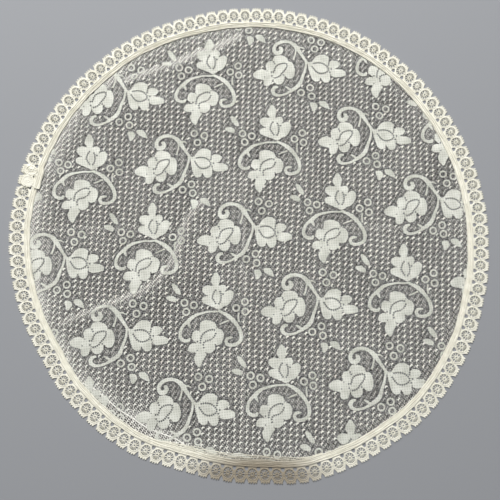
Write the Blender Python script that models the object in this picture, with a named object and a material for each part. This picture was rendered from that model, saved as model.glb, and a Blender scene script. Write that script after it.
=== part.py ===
"""Round lace doily, lying flat.

Two sewn pieces: a panel of patterned lace net, and a scalloped edging of small medallions on a heading band. The
edging is one strip. It is bent round the panel, lies on the panel's rim, and laps over its own start.

Metres, +Z up. The origin is under the doily's centre, on the surface that it lies on.
"""

from math import atan2, cos, hypot, radians, sin, sqrt, tau

import bmesh
import bpy
from mathutils import Vector
from mathutils.geometry import delaunay_2d_cdt

MM = 0.001

# The whole doily. Its outline is a circle that the cloth has pulled a little out of shape.
DIAMETER = 360 * MM
OUTLINE_DRIFT_MM = {
    # degrees from +X: distance outside the true circle
    0: -0.2, 15: -0.3, 30: -0.2, 45: 0.5, 60: 0.8, 75: 0.2, 90: -0.6, 105: -1.4,
    120: -0.4, 135: -0.9, 150: -0.7, 165: -0.5, 180: -0.2, 195: -1.1, 210: -2.6, 225: -0.5,
    240: 0.1, 255: -2.5, 270: -0.7, 285: 3.8, 300: 4.1, 315: 5.1, 330: 3.3, 345: 0.9,
}  # fmt: skip

# Cloth.
SHEET_THICKNESS = 1.0 * MM
LAYER_GAP = 0.3 * MM

# Edging strip, from its heading band out to the tips of its picots.
MEDALLIONS = 124
STRIP_DEPTH = 16.5 * MM
HEADING_WIDTH = 4.5 * MM
STEP_WIDTH = 0.6 * MM
EYELET_DIAMETER = 2.8 * MM
EYELET_SIDES = 6
EYELET_FROM_HEADING = 2.3 * MM
NOTCH_DEPTH = 4.4 * MM
PICOTS = (
    # share of a half medallion from its middle to its joint, depth below the outermost tip in mm
    (0.00, 0.0), (0.28, 0.9), (0.54, 0.5), (0.80, 2.6),
)  # fmt: skip
LAP_START = radians(163.5)
LAP_MEDALLIONS = 2
LAP_INSET = 2.0 * MM

# Panel.
RIM_UNDER_HEADING = 3.6 * MM
RIM_POINTS = 96
SEED_SPACING = 26 * MM
RIM_MARGIN = RIM_UNDER_HEADING + 0.5 * MM  # what is raised stays clear of the heading band

# The lace's dense cloth-work stands above its net.
RELIEF = 0.4 * MM
RELIEF_SLOPE = 0.5 * MM
SCROLL_HALF_WIDTH_MM = 1.5

# The repeat: two sprays, each a rose, a bud and two scrolls, on one slanting lattice, all in mm.
LATTICE_A_MM = (48.5, -53.2)
LATTICE_B_MM = (91.2, 75.4)
SPRAYS_MM = {
    "rose_left_of_bud": {
        "origin": (-18.2, -4.0),
        "rose": (
            (11.5, 3), (10, 9), (6.5, 11), (1, 15), (-4.5, 12.5), (-3.5, 9.5), (-8, 9.8), (-11.5, 6), (-9.5, 2),
            (-20.5, 0.5), (-14, -4.5), (-11.5, -10), (-6, -9.5), (-3, -6.5), (-1.5, -9), (4, -7.5), (4.5, -4), (8, -4.5),
        ),
        "bud": (
            (22, 9.5), (23, 4), (25.5, -3), (29.5, -6.5), (31, -4), (33.5, -7), (38.5, -6), (39, -1.5), (51, -1),
            (51.5, 4), (42.5, 4.8), (46.5, 8), (44, 11.5), (38.5, 11), (38, 13), (33, 16), (27, 14.5),
        ),
        "scrolls": (
            ((21, 9.5), (16.5, 16), (11.5, 22.5), (3, 26), (-4, 22.5), (-3.5, 17.3), (1.2, 18)),
            ((21, 7), (18.5, -1), (14, -10), (7, -14.5), (-2, -17.2), (-5.3, -14), (-3, -11)),
        ),
    },
    "rose_below_bud": {
        "origin": (14.0, 50.1),
        "rose": (
            (11.5, 3), (9, 8), (5.5, 8.5), (4, 13), (-3, 14), (-6.5, 10), (-6, 7), (-11, 6.5), (-12.5, 2), (-10, -1.5),
            (-16, -5.5), (-11.5, -9), (-9.5, -15), (-6, -19.5), (-2.5, -14), (-2, -9.5), (3.5, -9.5), (5.5, -5), (10.5, -3),
        ),
        "bud": (
            (7.5, 21), (10, 24), (14, 25.5), (18.5, 31), (17.5, 36), (13, 35.5), (12, 42), (8.5, 41), (8, 44),
            (4.5, 49.5), (1, 43.5), (1.5, 38.5), (-3, 39.5), (-6, 35.5), (-1, 32), (-5.5, 28.5), (1.5, 24.5),
        ),
        "scrolls": (
            ((9.5, 20), (16, 17), (22, 10), (24, 2), (20, -4), (14, -3.5), (14, 1)),
            ((5.5, 20.5), (-5, 19), (-13, 15), (-19.5, 9.5), (-21, 3), (-18, 0), (-14.5, 1)),
        ),
    },
}  # fmt: skip

# Folds, each a line in mm with its half width and height in mm: a pressed tuck near the top, and a pinched crease.
FOLDS_MM = (
    {
        "line": ((-8, 156), (-24.7, 147.5), (-41, 141.7), (-55.7, 134.4), (-76.5, 127.1), (-94.2, 120.6)),
        "half_width": 1.6, "height": 1.1, "flat_share": 0.6,
    },
    {
        "line": (
            (-136.5, -66), (-100.2, -51.3), (-78.2, -41.7), (-63.6, -29.8), (-53.5, -11.9), (-46.3, 10.8), (-34.4, 26.1),
        ),
        "half_width": 2.8, "height": 2.2, "flat_share": 0.15,
    },
)  # fmt: skip

# The allowance that is turned in under the panel shows as a doubled band along the lower left rim.
HEM_ARC = (radians(221), radians(273))
HEM_DEPTH = 6.5 * MM
HEM_STEPS = 12

IVORY = (0.80, 0.78, 0.66, 1.0)
CREAM = (0.90, 0.87, 0.71, 1.0)


# Plain geometry


def outline_drift(angle):
    """How far the outline stands outside its circle at this angle, eased between the rows of the table."""
    step = tau / len(OUTLINE_DRIFT_MM)
    drifts = list(OUTLINE_DRIFT_MM.values())
    row = int(angle % tau // step)
    share = (angle % tau - row * step) / step
    ease = (1 - cos(share * tau / 2)) / 2
    here, following = drifts[row], drifts[(row + 1) % len(drifts)]
    return (here + (following - here) * ease) * MM


def rim_radius(angle):
    """The panel's cut edge, which lies under the heading band."""
    return DIAMETER / 2 - STRIP_DEPTH + RIM_UNDER_HEADING + outline_drift(angle)


def smooth(share):
    share = min(max(share, 0.0), 1.0)
    return share * share * (3 - 2 * share)


def inside(point, loop):
    """Whether the point lies in the closed loop."""
    crossings = 0
    for (ax, ay), (bx, by) in zip(loop, loop[1:] + loop[:1]):
        if (ay > point[1]) != (by > point[1]):
            crossings += point[0] < ax + (point[1] - ay) / (by - ay) * (bx - ax)
    return crossings % 2 == 1


def distance_to_line(point, line):
    """The shortest distance from the point to a line of several stretches."""
    nearest = float("inf")
    for (ax, ay), (bx, by) in zip(line, line[1:]):
        dx, dy = bx - ax, by - ay
        along = ((point[0] - ax) * dx + (point[1] - ay) * dy) / (dx * dx + dy * dy)
        along = min(max(along, 0.0), 1.0)
        nearest = min(nearest, hypot(point[0] - ax - along * dx, point[1] - ay - along * dy))
    return nearest


def strip_loop(line, half_width):
    """The closed loop round a line at this distance to either side."""
    left, right = [], []
    for i, (x, y) in enumerate(line):
        (ax, ay), (bx, by) = line[max(i - 1, 0)], line[min(i + 1, len(line) - 1)]
        length = hypot(bx - ax, by - ay)
        nx, ny = -(by - ay) / length * half_width, (bx - ax) / length * half_width
        left.append((x + nx, y + ny))
        right.append((x - nx, y - ny))
    return left + right[::-1]


def shrunk(loop, distance):
    """The loop with each point drawn in towards the middle by about this distance."""
    mx = sum(x for x, _ in loop) / len(loop)
    my = sum(y for _, y in loop) / len(loop)
    shrunk_loop = []
    for x, y in loop:
        keep = max(0.3, 1 - distance / max(hypot(x - mx, y - my), distance))
        shrunk_loop.append((mx + (x - mx) * keep, my + (y - my) * keep))
    return shrunk_loop


def raised_limit(angle):
    """How far out anything may be raised: just inside the heading band."""
    return rim_radius(angle) - RIM_MARGIN


def kept_on_panel(loop, half_width=0.0):
    """The loop with what would pass that limit drawn back to it, or nothing where too little is left."""
    kept = []
    drawn_back = 0
    for x, y in loop:
        most = raised_limit(atan2(y, x)) - half_width
        share = min(1.0, most / hypot(x, y))
        drawn_back += share < 1
        kept.append((x * share, y * share))
    return kept if drawn_back <= len(loop) * 0.7 else []


# Raised shapes of the panel: each gives the loops that the mesh follows, and its height at a point


class Patch:
    """A flat raised patch with sloping sides, such as a rose or the doubled hem."""

    def __init__(self, loop, height=RELIEF):
        self.outer = kept_on_panel(loop)
        self.height = height

    def loops(self):
        return [self.outer, shrunk(self.outer, RELIEF_SLOPE)] if self.outer else []

    def rise(self, point):
        if not self.outer or not inside(point, self.outer):
            return 0.0
        edge = distance_to_line(point, self.outer + self.outer[:1])
        return self.height * min(edge / RELIEF_SLOPE * 1.4, 1.0)


class Ridge:
    """A raised line, such as a scroll or a crease in the cloth: flat on top over part of its width."""

    def __init__(self, line, half_width, height, flat_share):
        self.line = kept_on_panel(line, half_width)
        self.half_width = half_width
        self.height = height
        self.flat_share = flat_share

    def loops(self):
        if not self.line:
            return []
        return [strip_loop(self.line, self.half_width), strip_loop(self.line, self.half_width * self.flat_share)]

    def rise(self, point):
        if not self.line:
            return 0.0
        away = distance_to_line(point, self.line) / self.half_width
        return self.height * min(max((1 - away) / (1 - self.flat_share), 0.0), 1.0)


def placed(points, origin):
    return [((x + origin[0]) * MM, (y + origin[1]) * MM) for x, y in points]


def lattice_places(origin):
    """Every place of a spray that touches the panel."""
    reach = DIAMETER / 2 + 20 * MM
    for i in range(-4, 5):
        for j in range(-3, 4):
            x = origin[0] + i * LATTICE_A_MM[0] + j * LATTICE_B_MM[0]
            y = origin[1] + i * LATTICE_A_MM[1] + j * LATTICE_B_MM[1]
            if hypot(x, y) * MM < reach:
                yield x, y


def raised_shapes():
    """The cloth-work of every spray, the folds and the hem."""
    shapes = []
    for spray in SPRAYS_MM.values():
        for place in lattice_places(spray["origin"]):
            shapes += [Patch(placed(spray[flower], place)) for flower in ("rose", "bud")]
            shapes += [
                Ridge(placed(line, place), SCROLL_HALF_WIDTH_MM * MM, RELIEF, 0.55) for line in spray["scrolls"]
            ]
    for fold in FOLDS_MM:
        line = placed(fold["line"], (0, 0))
        shapes.append(Ridge(line, fold["half_width"] * MM, fold["height"] * MM, fold["flat_share"]))
    shapes.append(Patch(hem_loop()))
    return [shape for shape in shapes if shape.loops()]


def hem_loop():
    """The doubled band: along the rim and back at the hem's depth, narrowing to nothing at its ends."""
    start, end = HEM_ARC
    angles = [start + (end - start) * i / HEM_STEPS for i in range(HEM_STEPS + 1)]
    outer = [(raised_limit(a), a) for a in angles]
    inner = []
    for i, a in enumerate(angles[1:-1], 1):
        depth = HEM_DEPTH * smooth(4 * min(i, HEM_STEPS - i) / HEM_STEPS)
        inner.append((raised_limit(a) - depth, a))
    return [(r * cos(a), r * sin(a)) for r, a in outer + inner[::-1]]


# Panel


def seed_points():
    """A triangular grid over the panel, which keeps its plain stretches from long thin triangles."""
    rows = int(DIAMETER / SEED_SPACING)
    for row in range(-rows, rows + 1):
        for column in range(-rows, rows + 1):
            x = (column + row % 2 / 2) * SEED_SPACING
            y = row * SEED_SPACING * sqrt(3) / 2
            if hypot(x, y) < rim_radius(atan2(y, x)) - SEED_SPACING / 3:
                yield x, y


def circuit(radius_at):
    """The closed loop at this radius all the way round."""
    angles = [tau * i / RIM_POINTS for i in range(RIM_POINTS)]
    return [(radius_at(a) * cos(a), radius_at(a) * sin(a)) for a in angles]


def triangulated(loops):
    """Points and triangles of the panel's plan, which follow the rim, these loops and the seeds."""
    rim = circuit(rim_radius)
    points, edges = [], []
    for loop in [rim, *loops]:
        first = len(points)
        points += [Vector(p) for p in loop]
        edges += [(first + i, first + (i + 1) % len(loop)) for i in range(len(loop))]
    points += [Vector(p) for p in seed_points()]
    plan, _, faces, *_ = delaunay_2d_cdt(points, edges, [], 1, 1e-5)
    return plan, faces


def top_height(point, shapes):
    """The sheet's top at this point, which is plain under the heading band."""
    room = (raised_limit(atan2(point.y, point.x)) - hypot(point.x, point.y)) / RELIEF_SLOPE
    return SHEET_THICKNESS + max(shape.rise(point) for shape in shapes) * min(max(room, 0.0), 1.0)


def panel_mesh():
    """A sheet with a flat underside, whose top carries the raised shapes."""
    shapes = raised_shapes()
    shape_loops = [loop for shape in shapes for loop in shape.loops()]
    bm = bmesh.new()
    for loops, height_at in (
        ([circuit(raised_limit), *shape_loops], lambda point: top_height(point, shapes)),
        ([], lambda point: 0.0),
    ):
        plan, faces = triangulated(loops)
        vertices = [bm.verts.new((point.x, point.y, height_at(point))) for point in plan]
        for face in faces:
            bm.faces.new([vertices[i] for i in face])
    rims = [edge for edge in bm.edges if edge.is_boundary]
    bmesh.ops.bridge_loops(bm, edges=rims)
    bmesh.ops.triangulate(bm, faces=[face for face in bm.faces if len(face.verts) > 3])
    bmesh.ops.recalc_face_normals(bm, faces=bm.faces)
    return bm


# Edging


def pitch():
    """Medallion pitch, measured along the outermost circle."""
    return tau * DIAMETER / 2 / MEDALLIONS


def add_sector(bm):
    """One joint of the flat strip with half a medallion to either side: X runs along it, Y outwards to the tips."""
    wide = pitch()
    inner, heading = -STRIP_DEPTH, -STRIP_DEPTH + HEADING_WIDTH
    foot = heading + STEP_WIDTH
    high = SHEET_THICKNESS + LAYER_GAP
    corners = [(0, inner, high), (wide, inner, high), (wide, heading, high), (0, heading, high)]
    low = [(wide, foot, 0), (0, foot, 0)]
    band = [bm.verts.new(corner) for corner in corners]
    step = [bm.verts.new(corner) for corner in low]
    bm.faces.new(band)
    bm.faces.new([band[3], band[2], step[0], step[1]])

    scallop = [(share * wide / 2, -depth * MM) for share, depth in PICOTS]
    notch = [(wide / 2, -NOTCH_DEPTH)]
    outer = scallop + notch + [(wide - x, y) for x, y in reversed(scallop)]
    ring = [step[1], *(bm.verts.new((x, y, 0)) for x, y in outer), step[0]]
    centre = Vector((wide / 2, heading + EYELET_FROM_HEADING, 0))
    radius = EYELET_DIAMETER / 2
    turns = [tau * (i + 0.5) / EYELET_SIDES for i in range(EYELET_SIDES)]
    eyelet = [bm.verts.new(centre + Vector((radius * cos(t), radius * sin(t), 0))) for t in turns]
    edges = [
        bm.edges.get(pair) or bm.edges.new(pair)
        for loop in (ring, eyelet)
        for pair in zip(loop, loop[1:] + loop[:1])
    ]
    bmesh.ops.triangle_fill(bm, edges=edges, use_beauty=True, normal=(0, 0, 1))


def bend_round(point):
    """A point of the flat strip, carried round the panel: the strip's far end rises over its start and lies in."""
    along = point.x / pitch()
    lapped = smooth((along - MEDALLIONS + 0.5) / 0.34)
    angle = LAP_START + along * tau / MEDALLIONS
    radius = DIAMETER / 2 + outline_drift(angle) + point.y - LAP_INSET * lapped
    rise = point.z + (SHEET_THICKNESS + LAYER_GAP) * lapped
    return Vector((radius * cos(angle), radius * sin(angle), rise))


def edging_mesh():
    bm = bmesh.new()
    add_sector(bm)
    sector = list(bm.verts) + list(bm.edges) + list(bm.faces)
    for i in range(1, MEDALLIONS + LAP_MEDALLIONS):
        copied = bmesh.ops.duplicate(bm, geom=sector)["geom"]
        vertices = [item for item in copied if isinstance(item, bmesh.types.BMVert)]
        bmesh.ops.translate(bm, verts=vertices, vec=(i * pitch(), 0, 0))
    bmesh.ops.remove_doubles(bm, verts=bm.verts, dist=1e-6)
    bmesh.ops.triangulate(bm, faces=[face for face in bm.faces if len(face.verts) > 3])
    raised = bmesh.ops.extrude_face_region(bm, geom=list(bm.faces), use_keep_orig=True)["geom"]
    top = [item for item in raised if isinstance(item, bmesh.types.BMVert)]
    bmesh.ops.translate(bm, verts=top, vec=(0, 0, SHEET_THICKNESS))
    for vertex in bm.verts:
        vertex.co = bend_round(vertex.co)
    bmesh.ops.triangulate(bm, faces=[face for face in bm.faces if len(face.verts) > 3])
    bmesh.ops.recalc_face_normals(bm, faces=bm.faces)
    return bm


# Scene


def clear_scene():
    for obj in list(bpy.data.objects):
        bpy.data.objects.remove(obj, do_unlink=True)


def fabric(name, colour, roughness):
    material = bpy.data.materials.new(name)
    material.use_nodes = True
    shader = material.node_tree.nodes["Principled BSDF"]
    shader.inputs["Base Color"].default_value = colour
    shader.inputs["Roughness"].default_value = roughness
    shader.inputs["Metallic"].default_value = 0.0
    return material


def add_object(name, bm, material, collection):
    mesh = bpy.data.meshes.new(name)
    bm.to_mesh(mesh)
    bm.free()
    mesh.materials.append(material)
    obj = bpy.data.objects.new(name, mesh)
    collection.objects.link(obj)
    return obj


def main():
    clear_scene()
    collection = bpy.data.collections.new("lace_doily")
    bpy.context.scene.collection.children.link(collection)
    add_object("lace_panel", panel_mesh(), fabric("net_ivory", IVORY, 0.9), collection)
    add_object("lace_edging", edging_mesh(), fabric("trim_cream", CREAM, 0.85), collection)


main()
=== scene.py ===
"""Looks of the round lace doily: patterned net, woven flower sprays and a scalloped medallion edging.

It lies flat. Metres, +Z up, in the CAD model's own frame. Flat shapes are drawn in millimetres, set down in
rows, and then laid: the net and its sprays follow the cloth's pull and folds, and the edging is bent round
the panel.
"""

from __future__ import annotations

import logging
from dataclasses import dataclass, field, replace
from enum import Enum
from math import cos, pi, radians, sin, tau
from typing import Iterable

import bmesh
import bpy
import numpy as np
from mathutils import Matrix, Vector

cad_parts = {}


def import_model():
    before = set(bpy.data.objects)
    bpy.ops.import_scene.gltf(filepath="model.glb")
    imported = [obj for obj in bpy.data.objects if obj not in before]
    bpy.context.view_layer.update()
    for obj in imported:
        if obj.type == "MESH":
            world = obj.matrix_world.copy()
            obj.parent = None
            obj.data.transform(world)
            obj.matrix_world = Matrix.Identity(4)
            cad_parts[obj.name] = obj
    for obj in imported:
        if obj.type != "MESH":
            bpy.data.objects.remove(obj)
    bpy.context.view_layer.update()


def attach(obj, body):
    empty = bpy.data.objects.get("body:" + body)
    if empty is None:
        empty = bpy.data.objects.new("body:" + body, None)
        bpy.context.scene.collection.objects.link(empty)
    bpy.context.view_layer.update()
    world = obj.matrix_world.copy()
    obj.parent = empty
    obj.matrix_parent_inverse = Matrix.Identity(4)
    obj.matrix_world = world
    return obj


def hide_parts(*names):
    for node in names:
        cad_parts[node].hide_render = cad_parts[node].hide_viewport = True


log = logging.getLogger("lace_doily")

MM = 0.001
FAR = 1e9
TINY = 1e-9
BODY = "root"
FLAT_MAP = "flat"
# The mesh mark that spreads the net's painted shade round its holes.
PAINTED_SHADE_SPREAD = "painted_shade_spread"

Point = tuple[float, float]
Loop = tuple[Point, ...]
Array = np.ndarray
BMesh = bmesh.types.BMesh
Tree = bpy.types.NodeTree
Socket = bpy.types.NodeSocket
Settings = dict[str, str]
Wave = tuple[float, float, float, float]


# Nodes and colours


def linear(hex_colour: str) -> tuple[float, float, float, float]:
    """Turns an sRGB hex colour to linear values.

    Args:
        hex_colour: The colour, such as "#F0EBD6".

    Returns:
        Red, green, blue and an alpha of 1.
    """
    channels = [int(hex_colour[i : i + 2], 16) / 255 for i in (1, 3, 5)]
    return (*(c / 12.92 if c <= 0.04045 else ((c + 0.055) / 1.055) ** 2.4 for c in channels), 1.0)


def add_node(tree: Tree, kind: str, settings: Settings | None = None, **inputs: object) -> bpy.types.Node:
    """Adds a node with its settings and links.

    Args:
        tree: The node tree that gets it.
        kind: The node's type name, such as "ShaderNodeMix".
        settings: Values for the node's own properties.
        **inputs: A value or an output socket for each input, by its name with spaces as underscores, or by
            its number as i0, i1 and so on.

    Returns:
        The new node.
    """
    node = tree.nodes.new(kind)
    for name, value in (settings or {}).items():
        setattr(node, name, value)
    for name, value in inputs.items():
        by_number = name[0] == "i" and name[1:].isdigit()
        socket = node.inputs[int(name[1:])] if by_number else node.inputs[name.replace("_", " ")]
        if isinstance(value, Socket):
            tree.links.new(value, socket)
        else:
            socket.default_value = value
    return node


def new_material(name: str) -> tuple[bpy.types.Material, Tree, bpy.types.Node]:
    """Makes an empty material and finds its parts.

    Args:
        name: The material's name.

    Returns:
        The material, its node tree and its Principled shader.
    """
    material = bpy.data.materials.new(name)
    material.use_nodes = True
    return material, material.node_tree, material.node_tree.nodes["Principled BSDF"]


def flat_place(tree: Tree, turn: float = 0.0) -> Socket:
    """Adds the nodes that find a point's place on the cloth as it lay flat.

    Args:
        tree: The node tree that gets them.
        turn: How far the pattern is turned, in degrees.

    Returns:
        The place in mm.
    """
    flat = add_node(tree, "ShaderNodeUVMap", {"uv_map": FLAT_MAP}).outputs["UV"]
    turned = (0, 0, radians(turn))
    return add_node(tree, "ShaderNodeMapping", Vector=flat, Rotation=turned, Scale=(1 / MM,) * 3).outputs[0]


@dataclass(frozen=True)
class ThreadPattern:
    """Soft rows of thread that follow the cloth's own flat measure, and slow clouds of tone over them.

    Attributes:
        spacing_mm: Distance from row to row.
        turn: How far the rows are turned, in degrees.
        waver: How unevenly they run.
        cloud_mm: Size of the clouds.
        thread_share: How much the rows count beside the clouds.
        limits: The sums of the two at which the colour is all shade and all light.
        cloud_detail: How finely the clouds are broken up.
        crossed: Whether a second set of rows crosses the first.
    """

    spacing_mm: float
    turn: float
    waver: float
    cloud_mm: float
    thread_share: float
    limits: tuple[float, float]
    cloud_detail: float = 4.0
    crossed: bool = False

    def spread(self, tree: Tree, shade: str, light: str) -> tuple[Socket, Socket]:
        """Adds the nodes that spread two shades over the cloth.

        Args:
            tree: The node tree that gets them.
            shade: The dark shade, as sRGB hex.
            light: The light shade.

        Returns:
            The colour, and the height of the rows from 0 to 1.
        """
        place = flat_place(tree, self.turn)
        # A wave texture turns through 20 radians over each unit of its scaled place.
        scale = tau / (20 * self.spacing_mm)
        rows = []
        for axis in "XY" if self.crossed else "X":
            wave = {"wave_type": "BANDS", "bands_direction": axis, "wave_profile": "SIN"}
            made = add_node(
                tree, "ShaderNodeTexWave", wave, Vector=place, Scale=scale, Distortion=self.waver, Detail=1.0
            )
            rows.append(made.outputs["Fac"])
        height = rows[0]
        if self.crossed:
            upper = {"operation": "MAXIMUM"}
            height = add_node(tree, "ShaderNodeMath", upper, i0=rows[0], i1=rows[1]).outputs[0]
        clouds = add_node(
            tree, "ShaderNodeTexNoise", Vector=place, Scale=1 / self.cloud_mm, Detail=self.cloud_detail
        )
        both = {"operation": "MULTIPLY_ADD"}
        blend = add_node(
            tree, "ShaderNodeMath", both, i0=height, i1=self.thread_share, i2=clouds.outputs["Fac"]
        )
        low, high = self.limits
        tone = add_node(tree, "ShaderNodeMapRange", Value=blend.outputs[0], i1=low, i2=high)
        ends = {"i6": linear(shade), "i7": linear(light)}
        colour = add_node(tree, "ShaderNodeMix", {"data_type": "RGBA"}, i0=tone.outputs[0], **ends)
        return colour.outputs[2], height


@dataclass(frozen=True)
class Surface:
    """How thread takes the light.

    Attributes:
        roughness: How matt it is.
        sheen: How much soft light its fibres catch.
        relief: How strongly its rows stand out.
        relief_mm: How deep they are.
        cover: How much it hides of what lies under it.
    """

    roughness: float
    sheen: float
    relief: float
    relief_mm: float
    cover: float = 1.0


# Finishes


@dataclass(frozen=True, kw_only=True)
class CottonThread:
    """What every finish of cotton thread has, with its pattern on the cloth's own flat measure.

    Attributes:
        name: The material's name.
        thread: The light shade.
        shade: The dark shade.
        pattern: Its rows of thread and clouds, which spread the two.
        surface: How it takes the light.
    """

    name: str
    thread: str
    shade: str
    pattern: ThreadPattern
    surface: Surface

    def marked(self, tree: Tree, colour: Socket) -> Socket:
        """Adds the marks that a finish has besides its threads, here none."""
        return colour

    def material(self) -> bpy.types.Material:
        """Makes the finish's material.

        Returns:
            The material.
        """
        material, tree, shader = new_material(self.name)
        colour, height = self.pattern.spread(tree, self.shade, self.thread)
        depth = self.surface.relief_mm * MM
        bump = add_node(tree, "ShaderNodeBump", Strength=self.surface.relief, Distance=depth, Height=height)
        tree.links.new(self.marked(tree, colour), shader.inputs["Base Color"])
        tree.links.new(bump.outputs[0], shader.inputs["Normal"])
        shader.inputs["Roughness"].default_value = self.surface.roughness
        shader.inputs["Sheen Weight"].default_value = self.surface.sheen
        shader.inputs["Alpha"].default_value = self.surface.cover
        return material


@dataclass(frozen=True, kw_only=True)
class CottonNet(CottonThread):
    """Machine-made ivory cotton net, thin enough to show what lies under it.

    It gives the eye a greyish haze: threads are light where they run together, and a near-black painted shade
    rings each hole, standing in for the shadow in and under it. Its slanting rows of lighter thread are drawn
    twice as far apart as the real 1.3 mm, because that is too fine to show.

    Attributes:
        step_a: One step from hole to hole, in mm.
        step_b: The other step.
        hole: The place of one hole.
        edge: The painted shade at a hole's edge, standing in for the shadow in the hole.
        painted_shade_mm: Where that painted shade starts and where it ends, from a hole's middle.
        stretch_mm: How much further out the painted shade reaches, as the piece's marks tell.
    """

    step_a: Point
    step_b: Point
    hole: Point
    name: str = "cotton_net_ivory"
    thread: str = "#F8F6EF"
    shade: str = "#8F8C84"
    pattern: ThreadPattern = ThreadPattern(
        spacing_mm=2.6, turn=36, waver=1.2, cloud_mm=38, thread_share=0.7, limits=(0.35, 1.1), cloud_detail=2
    )
    surface: Surface = Surface(roughness=0.92, sheen=0.15, relief=0.4, relief_mm=0.2, cover=0.94)
    # Painted shade: near-black at each hole's edge, standing in for the shadow in and under the hole.
    edge: str = "#0C0B0A"
    painted_shade_mm: tuple[float, float] = (0.53, 0.78)
    stretch_mm: float = 0.22

    def hole_distance(self, tree: Tree) -> Socket:
        """Adds the nodes that find how far a point of the flat cloth lies from the middle of its hole.

        Args:
            tree: The node tree that gets them.

        Returns:
            The distance in mm, for the hole whose own patch of the repeat the point is in.
        """
        (ax, ay), (bx, by) = self.step_a, self.step_b
        area = ax * by - ay * bx
        start = (self.hole[0] - (ax + bx) / 2, self.hole[1] - (ay + by) / 2, 0.0)
        dot, less = {"operation": "DOT_PRODUCT"}, {"operation": "SUBTRACT"}
        off = add_node(tree, "ShaderNodeVectorMath", less, i0=flat_place(tree), i1=start)
        shares = []
        for row in ((by / area, -bx / area, 0), (-ay / area, ax / area, 0)):
            whole = add_node(tree, "ShaderNodeVectorMath", dot, i0=off.outputs[0], i1=row).outputs["Value"]
            part = add_node(tree, "ShaderNodeMath", {"operation": "FRACT"}, i0=whole).outputs[0]
            shares.append(add_node(tree, "ShaderNodeMath", less, i0=part, i1=0.5).outputs[0])
        share = add_node(tree, "ShaderNodeCombineXYZ", i0=shares[0], i1=shares[1]).outputs[0]
        place = [
            add_node(tree, "ShaderNodeVectorMath", dot, i0=share, i1=row).outputs["Value"]
            for row in ((ax, bx, 0), (ay, by, 0))
        ]
        in_cell = add_node(tree, "ShaderNodeCombineXYZ", i0=place[0], i1=place[1]).outputs[0]
        return add_node(tree, "ShaderNodeVectorMath", {"operation": "LENGTH"}, i0=in_cell).outputs["Value"]

    def marked(self, tree: Tree, colour: Socket) -> Socket:
        """Paints shade on the thread at the edge of each hole.

        Args:
            tree: The node tree.
            colour: The thread's own colour.

        Returns:
            The colour with the painted shade at the holes' edges.
        """
        # The piece's marks spread the painted shade further out round some holes, and draw it in where
        # threads lie close.
        drawn = add_node(tree, "ShaderNodeAttribute", {"attribute_name": PAINTED_SHADE_SPREAD}).outputs["Fac"]
        from_hole = self.hole_distance(tree)
        stretch = {"operation": "MULTIPLY_ADD"}
        reach = add_node(tree, "ShaderNodeMath", stretch, i0=drawn, i1=-self.stretch_mm, i2=from_hole)
        low, high = self.painted_shade_mm
        clear = add_node(tree, "ShaderNodeMapRange", Value=reach.outputs[0], i1=low, i2=high).outputs[0]
        ends = {"i6": linear(self.edge), "i7": colour}
        return add_node(tree, "ShaderNodeMix", {"data_type": "RGBA"}, i0=clear, **ends).outputs[2]


@dataclass(frozen=True, kw_only=True)
class WovenCotton(CottonThread):
    """Dense ivory cotton cloth-work: crossed threads, woven so close that nothing shows through.

    It gives the eye a matt, faintly grained surface with slow changes of tone. The grain is drawn at about
    five times the real thread spacing of 0.35 mm, because the real one is too fine to show.
    """

    pattern: ThreadPattern = ThreadPattern(
        spacing_mm=1.8, turn=-5, waver=2, cloud_mm=9, thread_share=0.36, limits=(0.42, 1.02), crossed=True
    )
    surface: Surface = Surface(roughness=0.9, sheen=0.1, relief=0.22, relief_mm=0.15)


@dataclass(frozen=True, kw_only=True)
class TrimCord(CottonThread):
    """Twisted cream cotton thread of the edging, a little glossier and yellower than the net.

    It gives the eye rounded cords with a slanting twist, and a darker, brownish stretch on the near rim.

    Attributes:
        dark_stretch: The colour of the darker, brownish stretch.
        dark_stretch_most: How much of that colour its middle has.
        dark_stretch_core: How far out it has as much, as a share of its reach.
        dark_stretch_at: Where its middle is, in mm.
        dark_stretch_reach_mm: How far it reaches along the rim and inwards.
    """

    name: str = "cotton_cord_cream"
    thread: str = "#F8F6EA"
    shade: str = "#DEDBCB"
    pattern: ThreadPattern = ThreadPattern(
        spacing_mm=0.9, turn=33, waver=1.5, cloud_mm=6.25, thread_share=0.35, limits=(0.45, 0.95)
    )
    surface: Surface = Surface(roughness=0.8, sheen=0.15, relief=0.5, relief_mm=0.2)
    dark_stretch: str = "#8B7E69"
    dark_stretch_most: float = 0.85
    dark_stretch_core: float = 0.35
    dark_stretch_at: Point = (6.0, -176.0)
    dark_stretch_reach_mm: tuple[float, float] = (66.0, 24.0)

    def marked(self, tree: Tree, colour: Socket) -> Socket:
        """Darkens and browns the thread round one place on the near rim.

        Args:
            tree: The node tree.
            colour: The thread's own colour.

        Returns:
            The darker, browner colour.
        """
        # Darker and browner towards one place on the near rim.
        where = add_node(tree, "ShaderNodeTexCoord").outputs["Object"]
        wide, deep = (1 / (reach * MM) for reach in self.dark_stretch_reach_mm)
        middle = (-self.dark_stretch_at[0] * MM * wide, -self.dark_stretch_at[1] * MM * deep, 0)
        centred = add_node(tree, "ShaderNodeMapping", Vector=where, Location=middle, Scale=(wide, deep, 0))
        away = add_node(tree, "ShaderNodeVectorMath", {"operation": "LENGTH"}, i0=centred.outputs[0])
        soft = {"interpolation_type": "SMOOTHSTEP"}
        limits = {"i1": self.dark_stretch_core, "i2": 1.0, "i3": self.dark_stretch_most, "i4": 0.0}
        share = add_node(tree, "ShaderNodeMapRange", soft, Value=away.outputs["Value"], **limits).outputs[0]
        ends = {"i6": colour, "i7": linear(self.dark_stretch)}
        return add_node(tree, "ShaderNodeMix", {"data_type": "RGBA"}, i0=share, **ends).outputs[2]


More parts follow.
